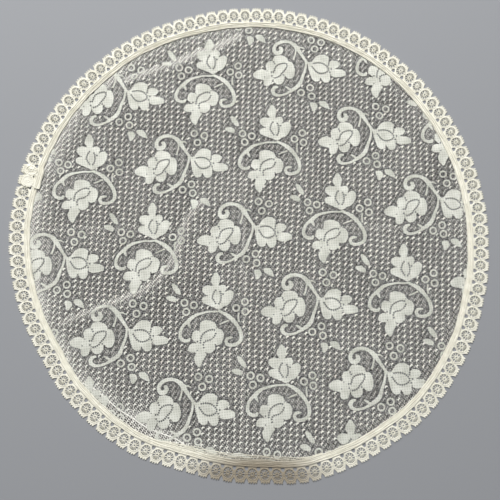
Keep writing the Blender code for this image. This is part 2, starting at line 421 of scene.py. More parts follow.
@dataclass(frozen=True)
class PaintedFloor:
    """A plain matt painted floor, pale and a little cool, that gives the eye an even ground.

    Attributes:
        name: The material's name.
        colour: Its colour.
        roughness: How matt it is.
        gloss: How much light it mirrors.
    """

    name: str = "painted_floor_pale"
    colour: str = "#94969A"
    roughness: float = 0.9
    gloss: float = 0.2

    def material(self) -> bpy.types.Material:
        """Makes the floor's even material.

        Returns:
            The material.
        """
        material, _, shader = new_material(self.name)
        shader.inputs["Base Color"].default_value = linear(self.colour)
        shader.inputs["Roughness"].default_value = self.roughness
        shader.inputs["Specular IOR Level"].default_value = self.gloss
        return material


# Flat geometry, in millimetres


def smooth_loop(points: Iterable[Point], steps: int = 3, closed: bool = True) -> Array:
    """Draws a smooth line through the points, as a Catmull-Rom curve.

    Args:
        points: The points that it passes.
        steps: How many short stretches each span becomes.
        closed: Whether the line runs back to its first point.

    Returns:
        The line's points as rows.
    """
    p = np.array(list(points), float)
    if closed:
        before, start, end, after = np.roll(p, 1, 0), p, np.roll(p, -1, 0), np.roll(p, -2, 0)
    else:
        padded = np.vstack([2 * p[0] - p[1], p, 2 * p[-1] - p[-2]])
        before, start, end, after = padded[:-3], padded[1:-2], padded[2:-1], padded[3:]
    bend = 2 * before - 5 * start + 4 * end - after
    sway = 3 * start - before - 3 * end + after
    shares = np.arange(steps) / steps
    line = [0.5 * (2 * start + (end - before) * t + bend * t**2 + sway * t**3) for t in shares]
    drawn = np.stack(line, 1).reshape(-1, p.shape[1])
    return drawn if closed else np.vstack([drawn, p[-1:]])


def distance_to_lines(points: Array, starts: Array, ends: Array) -> Array:
    """The shortest distance from each point to any of the stretches.

    Args:
        points: Rows of x and y.
        starts: The stretches' first ends.
        ends: The stretches' other ends.

    Returns:
        One distance for each point.
    """
    nearest = np.full(len(points), FAR)
    for a, b in zip(starts, ends):
        d = b - a
        t = np.clip(((points - a) @ d) / max(d @ d, TINY), 0, 1)
        nearest = np.minimum(nearest, np.hypot(*(points - a - t[:, None] * d).T))
    return nearest


def distance_to_path(points: Array, path: Loop, steps: int = 3) -> Array:
    """The shortest distance from each point to an open line, smoothed with so many steps a span."""
    line = smooth_loop(path, steps, closed=False)
    return distance_to_lines(points, line[:-1], line[1:])


def inside_loop(points: Array, loop: Array) -> Array:
    """Whether each point lies in the closed loop.

    Args:
        points: Rows of x and y.
        loop: The loop's corners.

    Returns:
        One answer for each point.
    """
    crossings = np.zeros(len(points), int)
    for (ax, ay), (bx, by) in zip(loop, np.roll(loop, -1, 0)):
        if ay == by:
            continue
        spans = (ay > points[:, 1]) != (by > points[:, 1])
        crossings += spans & (points[:, 0] < ax + (points[:, 1] - ay) / (by - ay) * (bx - ax))
    return crossings % 2 == 1


def signed_distance(points: Array, loop: Array) -> Array:
    """The distance to the closed loop, negative inside it."""
    away = distance_to_lines(points, loop, np.roll(loop, -1, 0))
    return np.where(inside_loop(points, loop), -away, away)


def circle(centre: Point, radius: float, sides: int, turn: float = 0.0) -> Array:
    """The corners of a round shape.

    Args:
        centre: Its centre.
        radius: Its radius.
        sides: How many corners it has.
        turn: Where the first one is, in radians.

    Returns:
        The closed line.
    """
    angles = turn + tau * np.arange(sides) / sides
    return np.stack([centre[0] + radius * np.cos(angles), centre[1] + radius * np.sin(angles)], 1)


def notched(loop: Loop, depth: float = 1.3) -> Array:
    """Draws the inward corners of an outline further in, as petals part.

    Args:
        loop: The closed outline in mm.
        depth: How much further in the sharpest corner goes.

    Returns:
        The outline, smoothed.
    """
    least, whole = 0.3, 0.9
    points = np.array(loop, float)
    behind, ahead = points - np.roll(points, 1, 0), np.roll(points, -1, 0) - points
    turns = np.arctan2(behind[:, 0] * ahead[:, 1] - behind[:, 1] * ahead[:, 0], (behind * ahead).sum(1))
    turns *= np.sign(turns.sum())
    inward = behind - ahead
    inward /= np.maximum(np.hypot(*inward.T), TINY)[:, None]
    share = np.clip((-turns - least) / whole, 0, 1)
    return smooth_loop(points + inward * (depth * share)[:, None], 2)


def stepped(loop: Array, step: float = 0.8, depth: float = 0.4) -> Array:
    """Breaks a closed line into small uneven steps, as cloth-work has where it ends at the net's holes.

    Args:
        loop: The closed line in mm.
        step: The distance from point to point.
        depth: How far the line swings in and out.

    Returns:
        The stepped line.
    """
    unevenness, rate = 0.3, 1.7
    ends = np.roll(loop, -1, 0)
    run = np.concatenate([[0], np.cumsum(np.hypot(*(ends - loop).T))])
    count = 2 * round(run[-1] / step / 2)
    at = np.arange(count) * run[-1] / count
    closed = np.vstack([loop, loop[:1]])
    points = np.stack([np.interp(at, run, closed[:, k]) for k in (0, 1)], 1)
    way = np.roll(points, -1, 0) - np.roll(points, 1, 0)
    side = np.stack([-way[:, 1], way[:, 0]], 1) / np.hypot(*way.T)[:, None]
    swing = np.where(np.arange(count) % 2, 0.5, -0.5) + unevenness * np.sin(at * rate)
    return points + side * (swing * depth)[:, None]


def slits(seam: Loop, spacing: float, size: tuple[float, float]) -> list[Array]:
    """The small holes along a seam.

    Args:
        seam: The seam's line in mm.
        spacing: The distance from hole to hole.
        size: Each hole's length along the seam and its width.

    Returns:
        The closed line of each hole.
    """
    line = smooth_loop(seam, 6, closed=False)
    run = np.concatenate([[0], np.cumsum(np.hypot(*np.diff(line, axis=0).T))])
    count = max(1, round(run[-1] / spacing))
    reach = 0.3
    corners = ((-0.5, 0), (-0.27, -0.5), (0.27, -0.5), (0.5, 0), (0.27, 0.5), (-0.27, 0.5))
    holes = []
    for at in (np.arange(count) + 0.5) * run[-1] / count:
        behind, middle, ahead = (
            np.array([np.interp(at + off, run, line[:, k]) for k in (0, 1)]) for off in (-reach, 0, reach)
        )
        way = (ahead - behind) / np.hypot(*(ahead - behind))
        side = np.array([-way[1], way[0]])
        holes.append(np.array([middle + way * u * size[0] + side * v * size[1] for u, v in corners]))
    return holes


def polar(points: Array) -> tuple[Array, Array]:
    """The angle and the radius of each point."""
    return np.arctan2(points[:, 1], points[:, 0]), np.hypot(*points.T)


def waves(table: Iterable[Wave], x: Array, y: Array | float = 0.0) -> Array:
    """Adds up waves over the flat.

    Args:
        table: Each wave's height, its turn in radians for each mm of x and of y, and its turn at the start.
        x: Where they are wanted.
        y: The same.

    Returns:
        Their sum at each place.
    """
    return sum(height * np.sin(x * across + y * up + start) for height, across, up, start in table)


def scattered(places: Array, count: int) -> Array:
    """Picks one of several choices for each place, with no pattern that shows, and the same each time.

    Args:
        places: Rows of x and y.
        count: How many choices there are.

    Returns:
        The number of each place's choice.
    """
    rates, span = (12.99, 78.23), 4375.8
    return (abs(np.sin(places @ rates)) * span % count).astype(int)


# Shapes made once and set down many times


@dataclass
class Stamp:
    """A small shape, made once with bmesh and held as arrays.

    Attributes:
        points: Its corners in mm.
        faces: Its triangles.
    """

    points: Array
    faces: Array

    @classmethod
    def of(cls, bm: BMesh) -> Stamp:
        """Takes the shape out of a bmesh, and frees it.

        Args:
            bm: The shape.

        Returns:
            Its stamp.
        """
        bmesh.ops.triangulate(bm, faces=[face for face in bm.faces if len(face.verts) > 3])
        bm.verts.index_update()
        points = np.array([vertex.co[:] for vertex in bm.verts], float).reshape(-1, 3)
        faces = np.array([[vertex.index for vertex in face.verts] for face in bm.faces], int).reshape(-1, 3)
        bm.free()
        return cls(points, faces)

    @classmethod
    def joined(cls, stamps: Iterable[Stamp]) -> Stamp:
        """Puts several stamps together as they lie.

        Args:
            stamps: The stamps.

        Returns:
            One stamp with all their faces.
        """
        points, faces, first = [], [], 0
        for stamp in stamps:
            points.append(stamp.points)
            faces.append(stamp.faces + first)
            first += len(stamp.points)
        return cls(np.vstack(points), np.vstack(faces))

    def set_down(self, places: Array) -> Stamp:
        """Repeats the stamp at each place.

        Args:
            places: Rows of x and y in mm.

        Returns:
            All the copies together.
        """
        moves = np.column_stack([places, np.zeros(len(places))])
        points = (self.points[None] + moves[:, None]).reshape(-1, 3)
        offsets = np.arange(len(places)) * len(self.points)
        return Stamp(points, (self.faces[None] + offsets[:, None, None]).reshape(-1, 3))

    def keep(self, wanted: Array) -> Stamp:
        """Keeps the faces that are wanted, and the points that they use."""
        used, index = np.unique(self.faces[wanted], return_inverse=True)
        return Stamp(self.points[used], index.reshape(-1, 3))

    def welded(self, within: float = 1e-3) -> Stamp:
        """Merges points that lie at one place.

        Args:
            within: How near that is, in mm.

        Returns:
            The shape, without the faces that come to nothing.
        """
        near = np.round(self.points / within)
        _, first, index = np.unique(near, axis=0, return_index=True, return_inverse=True)
        faces = index.reshape(-1)[self.faces]
        whole = (faces[:, 0] != faces[:, 1]) & (faces[:, 1] != faces[:, 2]) & (faces[:, 2] != faces[:, 0])
        return Stamp(self.points[first], faces[whole])


def turned_up(bm: BMesh) -> BMesh:
    """Turns all the faces of a flat layer upwards.

    Args:
        bm: The layer.

    Returns:
        The same layer.
    """
    bmesh.ops.recalc_face_normals(bm, faces=bm.faces)
    if sum(face.normal.z for face in bm.faces) < 0:
        bmesh.ops.reverse_faces(bm, faces=bm.faces)
    return bm


def pierced_plate(outline: Array, holes: Iterable[Array], z: float = 0.0) -> BMesh:
    """Fills an outline that has holes in it.

    Args:
        outline: The closed outer line in mm.
        holes: The closed line of each hole.
        z: The plate's height.

    Returns:
        A bmesh of one flat layer.
    """
    bm = bmesh.new()
    edges = []
    for loop in [outline, *holes]:
        vertices = [bm.verts.new((x, y, z)) for x, y in loop]
        edges += [bm.edges.new(pair) for pair in zip(vertices, vertices[1:] + vertices[:1])]
    bmesh.ops.triangle_fill(bm, edges=edges, use_beauty=True, normal=(0, 0, 1))
    return turned_up(bm)


def bridged(rows: Iterable[Iterable[tuple[float, float, float]]]) -> BMesh:
    """Bridges rows of points to one open layer.

    Args:
        rows: Each row's points in mm, in order.

    Returns:
        A bmesh of the layer, which faces up.
    """
    bm = bmesh.new()
    chains = []
    for row in rows:
        corners = [bm.verts.new(place) for place in row]
        chains.append([bm.edges.new(pair) for pair in zip(corners, corners[1:])])
    for near, far in zip(chains, chains[1:]):
        bmesh.ops.bridge_loops(bm, edges=near + far)
    return turned_up(bm)


def thicken(bm: BMesh, height: float) -> list[bmesh.types.BMFace]:
    """Raises a copy of a flat layer and joins the two all round.

    Args:
        bm: The layer.
        height: How far the copy stands over it.

    Returns:
        The faces of the top.
    """
    raised = bmesh.ops.extrude_face_region(bm, geom=list(bm.faces), use_keep_orig=True)["geom"]
    lifted = [item for item in raised if isinstance(item, bmesh.types.BMVert)]
    bmesh.ops.translate(bm, verts=lifted, vec=(0, 0, height))
    return [item for item in raised if isinstance(item, bmesh.types.BMFace)]


def raised_patch(outline: Array, base: float, height: float, holes: Iterable[Array] = ()) -> Stamp:
    """Makes a flat patch of cloth with a small rounded shoulder, closed underneath.

    Args:
        outline: Its closed outline in mm.
        base: The height of its underside.
        height: How far its edge stands up.
        holes: The closed lines of the holes through it.

    Returns:
        The patch.
    """
    shoulder, crown, longest = 0.14, 0.05, 3.2
    bm = pierced_plate(outline, holes, base)
    tops = thicken(bm, height)
    rounding = {"thickness": shoulder, "depth": crown, "use_even_offset": True, "use_boundary": True}
    bmesh.ops.inset_region(bm, faces=tops, **rounding)
    long_edges = [edge for edge in bm.edges if edge.calc_length() > longest]
    bmesh.ops.subdivide_edges(bm, edges=long_edges, cuts=1, use_grid_fill=False)
    bmesh.ops.recalc_face_normals(bm, faces=bm.faces)
    return Stamp.of(bm)


def raised_strip(
    line: Array,
    widths: Array | float,
    base: float,
    height: float,
    closed: bool = False,
    crown: float = 0.15,
    shoulder: float = 0.72,
) -> Stamp:
    """Makes a rounded strip along a line, closed all round.

    Args:
        line: The strip's middle line in mm.
        widths: Its width, or its width at each point.
        base: The height of its underside.
        height: How far its shoulders stand up.
        closed: Whether the line is a ring.
        crown: How much higher its middle is than its shoulders.
        shoulder: Where its shoulders are, as a share of its half width.

    Returns:
        The strip.
    """
    if closed:
        ahead, behind = np.roll(line, -1, 0), np.roll(line, 1, 0)
    else:
        ahead, behind = np.vstack([line[1:], line[-1:]]), np.vstack([line[:1], line[:-1]])
    run = ahead - behind
    run /= np.maximum(np.hypot(*run.T), TINY)[:, None]
    across = np.stack([-run[:, 1], run[:, 0]], 1)
    section = ((1, 0), (shoulder, height), (0, height + crown), (-shoulder, height), (-1, 0))
    bm = bmesh.new()
    rows = []
    for middle, side, width in zip(line, across, np.broadcast_to(widths, len(line))):
        places = [(middle + side * (width / 2 * share), base + up) for share, up in section]
        rows.append([bm.verts.new((*place, z)) for place, z in places])
    rings = []
    for row in rows:
        rings.append([bm.edges.new((a, b)) for a, b in zip(row, row[1:] + row[:1])])
    pairs = list(zip(rings, rings[1:])) + ([(rings[-1], rings[0])] if closed else [])
    for first, second in pairs:
        bmesh.ops.bridge_loops(bm, edges=first + second)
    if not closed:
        for row in (rows[0], rows[-1]):
            bmesh.ops.contextual_create(bm, geom=row)
    bmesh.ops.recalc_face_normals(bm, faces=bm.faces)
    return Stamp.of(bm)


# The sprays' chart


@dataclass(frozen=True)
class Stem:
    """A scroll, branch or tendril: its middle line with its width at each point, in mm."""

    line: Loop
    widths: tuple[float, ...]

    def drawn(self) -> tuple[Array, Array]:
        """Smooths the stem.

        Returns:
            Its middle line, and its width at each point of it.
        """
        line = smooth_loop(self.line, 3, closed=False)
        known = np.linspace(0, 1, len(self.widths))
        return line, np.interp(np.linspace(0, 1, len(line)), known, self.widths)


@dataclass(frozen=True)
class SprayChart:
    """One spray of the repeat, drawn in mm round its own origin.

    Attributes:
        origin: Where the spray stands in the repeat.
        flowers: The closed outlines of its rose, with the rose's leaves, and of its bud.
        leaves: The closed outlines of the loose leaves beside it.
        stems: Scrolls, branches and tendrils.
        rings: Centres of the small rings.
        seams: Lines of small holes that part the petals.
        quiet: Closed outlines within which the net has no spots.
        pinhole: The small hole where the rose's two leaves join.
    """

    origin: Point
    flowers: tuple[Loop, ...]
    leaves: tuple[Loop, ...]
    stems: tuple[Stem, ...]
    rings: Loop
    seams: tuple[Loop, ...]
    quiet: tuple[Loop, ...]
    pinhole: Point


ROSE_LEFT_OF_BUD = SprayChart(
    origin=(-18.2, -4.0),
    flowers=(
        (
            (-5.4, 11), (-4, 14), (0.5, 14.9), (4, 14), (6.4, 12.2), (7.3, 10.2), (10, 9.2), (11.6, 5.6),
            (12, 2.8), (11.7, 0), (10.4, -3), (8, -4.2), (5.6, -3.2), (4.3, -2.6), (3.8, -5.6), (2.1, -8),
            (0, -8.9), (-2.4, -8.4), (-4.2, -6.6), (-5, -5.4), (-5.8, -7), (-6.8, -8.8), (-8.2, -10.1),
            (-11, -10.1), (-12.3, -8.5), (-12.6, -5.9), (-14, -4.9), (-16.6, -4.2), (-19, -3.5),
            (-20.7, -1.3), (-20.3, 0.1), (-18.4, 2.1), (-14, 3.8), (-11, 3.4), (-10.9, 6), (-9.6, 9),
            (-7, 10.1),
        ),
        (
            (22.2, 8.8), (25.2, 10.4), (27, 13), (30, 15.5), (33.5, 16.1), (37, 15), (38.3, 13),
            (38.4, 11), (40.2, 11.3), (43, 11.4), (46, 10), (46.2, 8), (44.6, 5.8), (43.2, 4.9),
            (44.8, 4.4), (47.6, 4.2), (50.6, 2.2), (50.2, -0.9), (46, -1.9), (41.6, -2.2), (39.6, -1.6),
            (38.9, -3.2), (38, -5.6), (35.4, -6.9), (32.8, -5.5), (31.5, -3.8), (30.6, -5.2),
            (28.6, -6.2), (26, -5.5), (24.4, -3.2), (23.4, 0.5), (22.5, 4.5),
        ),
    ),
    leaves=(
        (
            (22.6, -23.6), (25.6, -22.8), (28.2, -24.6), (28, -27.4), (25.8, -29.8), (24.4, -30.4),
            (23.6, -27.4),
        ),
        (
            (29.6, -22.2), (33, -21.6), (35.6, -23), (37.2, -26.4), (37.4, -28.4), (34.6, -27.4),
            (31.6, -26), (29.8, -24.4),
        ),
    ),
    stems=(
        Stem(
            (
                (21.3, 10), (19, 13.2), (16.5, 17), (13.8, 21), (11, 24), (7.6, 25.8), (3.6, 26.3),
                (0.3, 25.5), (-2.4, 23.8), (-3.9, 21.4), (-4.1, 19), (-3, 17.1), (-1, 16.6), (0.9, 17.6),
                (1.7, 19.4), (0.9, 20.9), (-0.4, 20.9),
            ),
            (2.0, 2.2, 2.6, 3.9, 3.1, 2.4, 2.6, 2.8, 2.8, 2.8, 3.0, 3.3, 3.5, 3.5, 3.3, 2.6, 1.6),
        ),
        Stem(((13, 19.6), (12.6, 16.5), (11.8, 13.6), (11, 11.4)), (1.2, 1.3, 1.4, 1.7)),
        Stem(((14.6, 21), (17, 21.8), (19.5, 20.4)), (1.4, 1.2, 0.8)),
        Stem(
            (
                (21, 10), (20.5, 6), (19.5, 2), (18.1, -1.2), (17, -4.6), (15.6, -8), (13.2, -10.8),
                (10.2, -12.8), (8, -14.2),
            ),
            (1.6, 1.7, 1.9, 2.2, 2.6, 3.0, 3.0, 2.8, 2.4),
        ),
        Stem(
            (
                (8.6, -14), (4.4, -16.2), (0.5, -17.3), (-2.6, -17.2), (-4.8, -15.6), (-5.2, -13.2),
                (-3.4, -11), (-1, -10.7),
            ),
            (2.0, 1.7, 1.9, 2.4, 2.9, 3.0, 2.4, 1.4),
        ),
        Stem(((9.4, -13.5), (6.6, -11.6), (4.4, -10.3)), (2.2, 1.8, 1.0)),
        Stem(((20.2, 10.2), (22, 9.2), (24, 8.6)), (2.4, 2.0, 1.4)),
    ),
    rings=((24.8, 28.0), (32.6, 26.2), (27.4, 20.8), (23.3, -11.2), (16.4, -15.2), (24.2, -17.9)),
    seams=(
        (
            (-6.9, 1), (-4.3, 1.2), (-3.3, 4.6), (-1, 7), (3.6, 8.2), (5.9, 7.4), (5.5, 4.8), (3.9, 2.3),
            (1.8, 0), (0.5, -2), (-2.2, -3.5), (-4.6, -3.5), (-6.2, -1.4),
        ),
        ((-5, 10.2), (-4.1, 8.6), (-3.6, 7)),
        ((-10.4, 2.6), (-8.6, 1.6)),
        ((3.7, -1.8), (2.7, -0.4)),
        ((-4.6, -5), (-3.8, -4.4)),
        (
            (26, 8.6), (30.5, 9.2), (34.5, 8.2), (37.6, 5), (37, 2.4), (33, 0.5), (29, 1.3), (26.6, 4.2),
            (25, 6.6),
        ),
        ((38.2, 10), (37.9, 8.4), (37.7, 6.8)),
        ((42.4, 4.7), (40.6, 4.6), (39, 4.4)),
        ((39.4, -1), (39.2, 1), (38.2, 2.6)),
        ((31.4, -3), (31.3, -1.4), (31.2, -0.2)),
    ),
    quiet=(
        (
            (21, 9), (14.5, 18.5), (7, 25), (-1, 24.5), (-4.5, 19), (0, 14), (10, 8), (11, 0), (8, -5),
            (2, -9.6), (8, -14), (14, -10), (18, -3),
        ),
        ((-4, -14), (0, -11), (8, -14), (0, -17)),
    ),
    pinhole=(-11.3, -2.8),
)  # fmt: skip

ROSE_BELOW_BUD = SprayChart(
    origin=(14.0, 50.1),
    flowers=(
        (
            (-6.5, 8.6), (-6.3, 12), (-4, 13.7), (-1, 14), (2.5, 13.2), (5, 11.7), (6, 9.4), (7.5, 7.9),
            (10, 6.8), (11.6, 3.4), (10.8, -0.4), (9.5, -3.2), (6, -4.1), (4.9, -3.6), (5.1, -6),
            (3, -8.7), (0, -9.8), (-1.7, -9.3), (-1.4, -10.6), (-2.7, -12.6), (-4.6, -16), (-6, -19.4),
            (-8.2, -18.2), (-10, -15.6), (-10.5, -12), (-10.1, -9.7), (-12.8, -8.9), (-15.3, -7.5),
            (-14.6, -4.6), (-12.5, -2.5), (-10, -2), (-11.8, -0.1), (-12.7, 2), (-11.6, 5.6), (-10, 6.8),
            (-7.6, 7),
        ),
        (
            (7.4, 21.4), (11, 23.9), (14.6, 25.5), (17.2, 29.5), (18.2, 33.5), (17, 35.8), (14, 36.2),
            (12.2, 35.4), (12.7, 37.5), (11.6, 39.7), (9.4, 40.4), (7.4, 40.6), (7.8, 44.5), (7.1, 47),
            (4.5, 50), (2.3, 47.6), (0.5, 43), (1.7, 40.2), (-1, 40.1), (-4, 39.1), (-5.5, 36.5),
            (-3.6, 33.4), (-1.8, 32.1), (-4, 31.4), (-5.7, 29), (-5, 27.1), (-3, 25.9), (0, 24.6),
            (5, 22.6),
        ),
    ),
    leaves=(
        (
            (20.6, -12.4), (22.6, -12), (25, -14.4), (27, -17.6), (27.3, -20.2), (25, -20), (22.6, -17.6),
            (21.2, -15),
        ),
        (
            (16.6, -21.8), (19.4, -20.8), (22.6, -21.6), (24.6, -24), (23.6, -25.8), (20.6, -25.2),
            (17.8, -24),
        ),
    ),
    stems=(
        Stem(
            (
                (8, 20.4), (11.6, 18.8), (14.6, 17), (18, 14), (20.8, 10.4), (22.8, 7), (23.7, 4),
                (23.9, 1), (22.9, -1.8), (20.4, -3.6), (17, -4.4), (14.2, -3.8), (13, -1.6), (14, 0.5),
                (16.3, 1.1), (18, 1.2),
            ),
            (1.8, 2.4, 3.2, 3.2, 2.6, 2.8, 2.8, 2.6, 2.5, 2.5, 2.5, 2.5, 2.4, 2.2, 1.8, 1.0),
        ),
        Stem(((22.5, 19.5), (21.9, 16.6), (22.4, 12.4)), (1.2, 1.3, 1.6)),
        Stem(((8, 11), (10.6, 12.2), (15, 14)), (1.0, 1.1, 1.3)),
        Stem(
            (
                (9, 20.8), (5, 20.2), (0, 20.2), (-5, 19.2), (-9.6, 17.9), (-12.6, 16), (-15.2, 13.6),
                (-17.6, 11.6), (-19.5, 9.6), (-20.8, 6.8), (-21.3, 3.4), (-20.2, 0.9), (-17.5, -0.5),
                (-14.8, -0.2), (-14, 1.6),
            ),
            (1.5, 1.4, 1.4, 1.7, 2.2, 2.8, 2.9, 2.4, 2.2, 2.4, 2.6, 2.6, 2.6, 2.4, 1.4),
        ),
        Stem(((-15.5, 13), (-14.4, 10.6), (-13.4, 8.6)), (2.6, 2.0, 0.9)),
    ),
    rings=((26.6, 27.7), (20.4, 23.1), (27.1, 20.3), (-11.5, 25.3), (-17, 20.4), (-18.5, 27)),
    seams=(
        ((-6.1, -3), (-5.7, 0.3), (-4.8, 3), (-2.5, 5.2), (2, 7.1), (5.2, 6.6)),
        ((-4, -4.4), (-3, -1.6), (0, -0.6), (3, 0.4), (5, 3.2), (5.6, 5.2)),
        ((-7, 6.6), (-5.9, 5.8), (-4.8, 4.6)),
        ((5.7, 9), (5.6, 7.8)),
        ((4.5, -3), (3.6, -1.6), (3.2, -0.2)),
        ((-9, -1.2), (-7.6, -1.4)),
        ((-2, -8.6), (-3, -6.6), (-3.8, -5)),
        ((5.4, 25.6), (3.7, 28.2), (2.4, 30.6), (3.6, 34.8), (5.2, 36.6)),
        ((6.8, 25.4), (8.2, 27), (8.9, 30), (8.6, 33.6), (7.6, 35.8)),
        ((2, 39.6), (3.2, 38.2)),
        ((11.8, 35), (10.6, 33.8), (10, 32.4)),
        ((-1, 32), (0.4, 31.6), (1.6, 30.8)),
    ),
    quiet=(
        (
            (7.5, 20.5), (16, 17), (23, 8), (23.5, 1), (18, -3), (12, -2), (11, 6), (5.5, 12), (-6, 12),
            (-12.5, 5), (-14, 1), (-20, 1), (-20.5, 8), (-15, 13), (-10, 18), (0, 20),
        ),
    ),
    pinhole=(-8.3, -7.5),
)  # fmt: skip


class Spray(Enum):
    """The two sprays of the repeat."""

    ROSE_LEFT_OF_BUD = ROSE_LEFT_OF_BUD
    ROSE_BELOW_BUD = ROSE_BELOW_BUD


# The cloth


@dataclass(frozen=True)
class Fold:
    """A fold in the cloth, in mm.

    Attributes:
        line: Where it runs.
        half_width: How far it reaches to either side.
        height: How far it stands up.
        flat_share: How much of its width is flat on top.
        gather: How much it draws its threads together.
        foot: How much further out its slopes end, as a share of the half width.
        fade: How far from its ends it sinks.
        least_end: How much of its height is left there.
        full_gather: The gather at which its threads lie as close as they can.
        close_reach: How far its close threads reach, as a share of the half width.
        gather_reach: How far it draws threads from, as the same share.
    """

    line: Loop
    half_width: float
    height: float
    flat_share: float
    gather: float
    foot: float = 1.25
    fade: float = 12.0
    least_end: float = 0.15
    full_gather: float = 0.4
    close_reach: float = 1.3
    gather_reach: float = 1.4

    def rise(self, points: Array) -> Array:
        """How far the fold lifts the cloth at each point.

        Args:
            points: Rows of x and y in mm.

        Returns:
            The rise of each in mm, uneven along the fold and soft at its ends.
        """
        away = distance_to_path(points, self.line, 6)
        share = np.clip((1 - away / (self.half_width * self.foot)) / (1 - self.flat_share), 0, 1)
        first, last = np.array(self.line[0], float), np.array(self.line[-1], float)
        along, whole = np.hypot(*(points - first).T), np.hypot(*(last - first))
        ends = np.clip(np.minimum(along, whole - along) / self.fade, self.least_end, 1)
        uneven = 0.84 + 0.16 * np.sin(along / 5.5) * np.cos(along / 13)
        return self.height * np.sin(share * pi / 2) ** 2 * ends * uneven

    def closeness(self, points: Array) -> Array:
        """How close the threads lie at each point, from 0 to about 1 on the fold's line."""
        shares = distance_to_path(points, self.line, 4) / (self.half_width * self.close_reach)
        return self.gather / self.full_gather * np.exp(-(shares**2))

    def gathered(self, points: Array) -> Array:
        """Draws the points near the fold towards it, so that its threads lie closer together.

        Args:
            points: Rows of x and y in mm.

        Returns:
            The same points, moved.
        """
        line = smooth_loop(self.line, 3, closed=False)
        nearest, towards = np.full(len(points), FAR), np.zeros((len(points), 2))
        for a, b in zip(line, line[1:]):
            d = b - a
            t = np.clip(((points - a) @ d) / (d @ d), 0, 1)
            off = a + t[:, None] * d - points
            away = np.hypot(*off.T)
            closer = away < nearest
            nearest[closer], towards[closer] = away[closer], off[closer]
        pull = self.gather * np.exp(-((nearest / (self.half_width * self.gather_reach)) ** 2))
        return points + towards * pull[:, None]


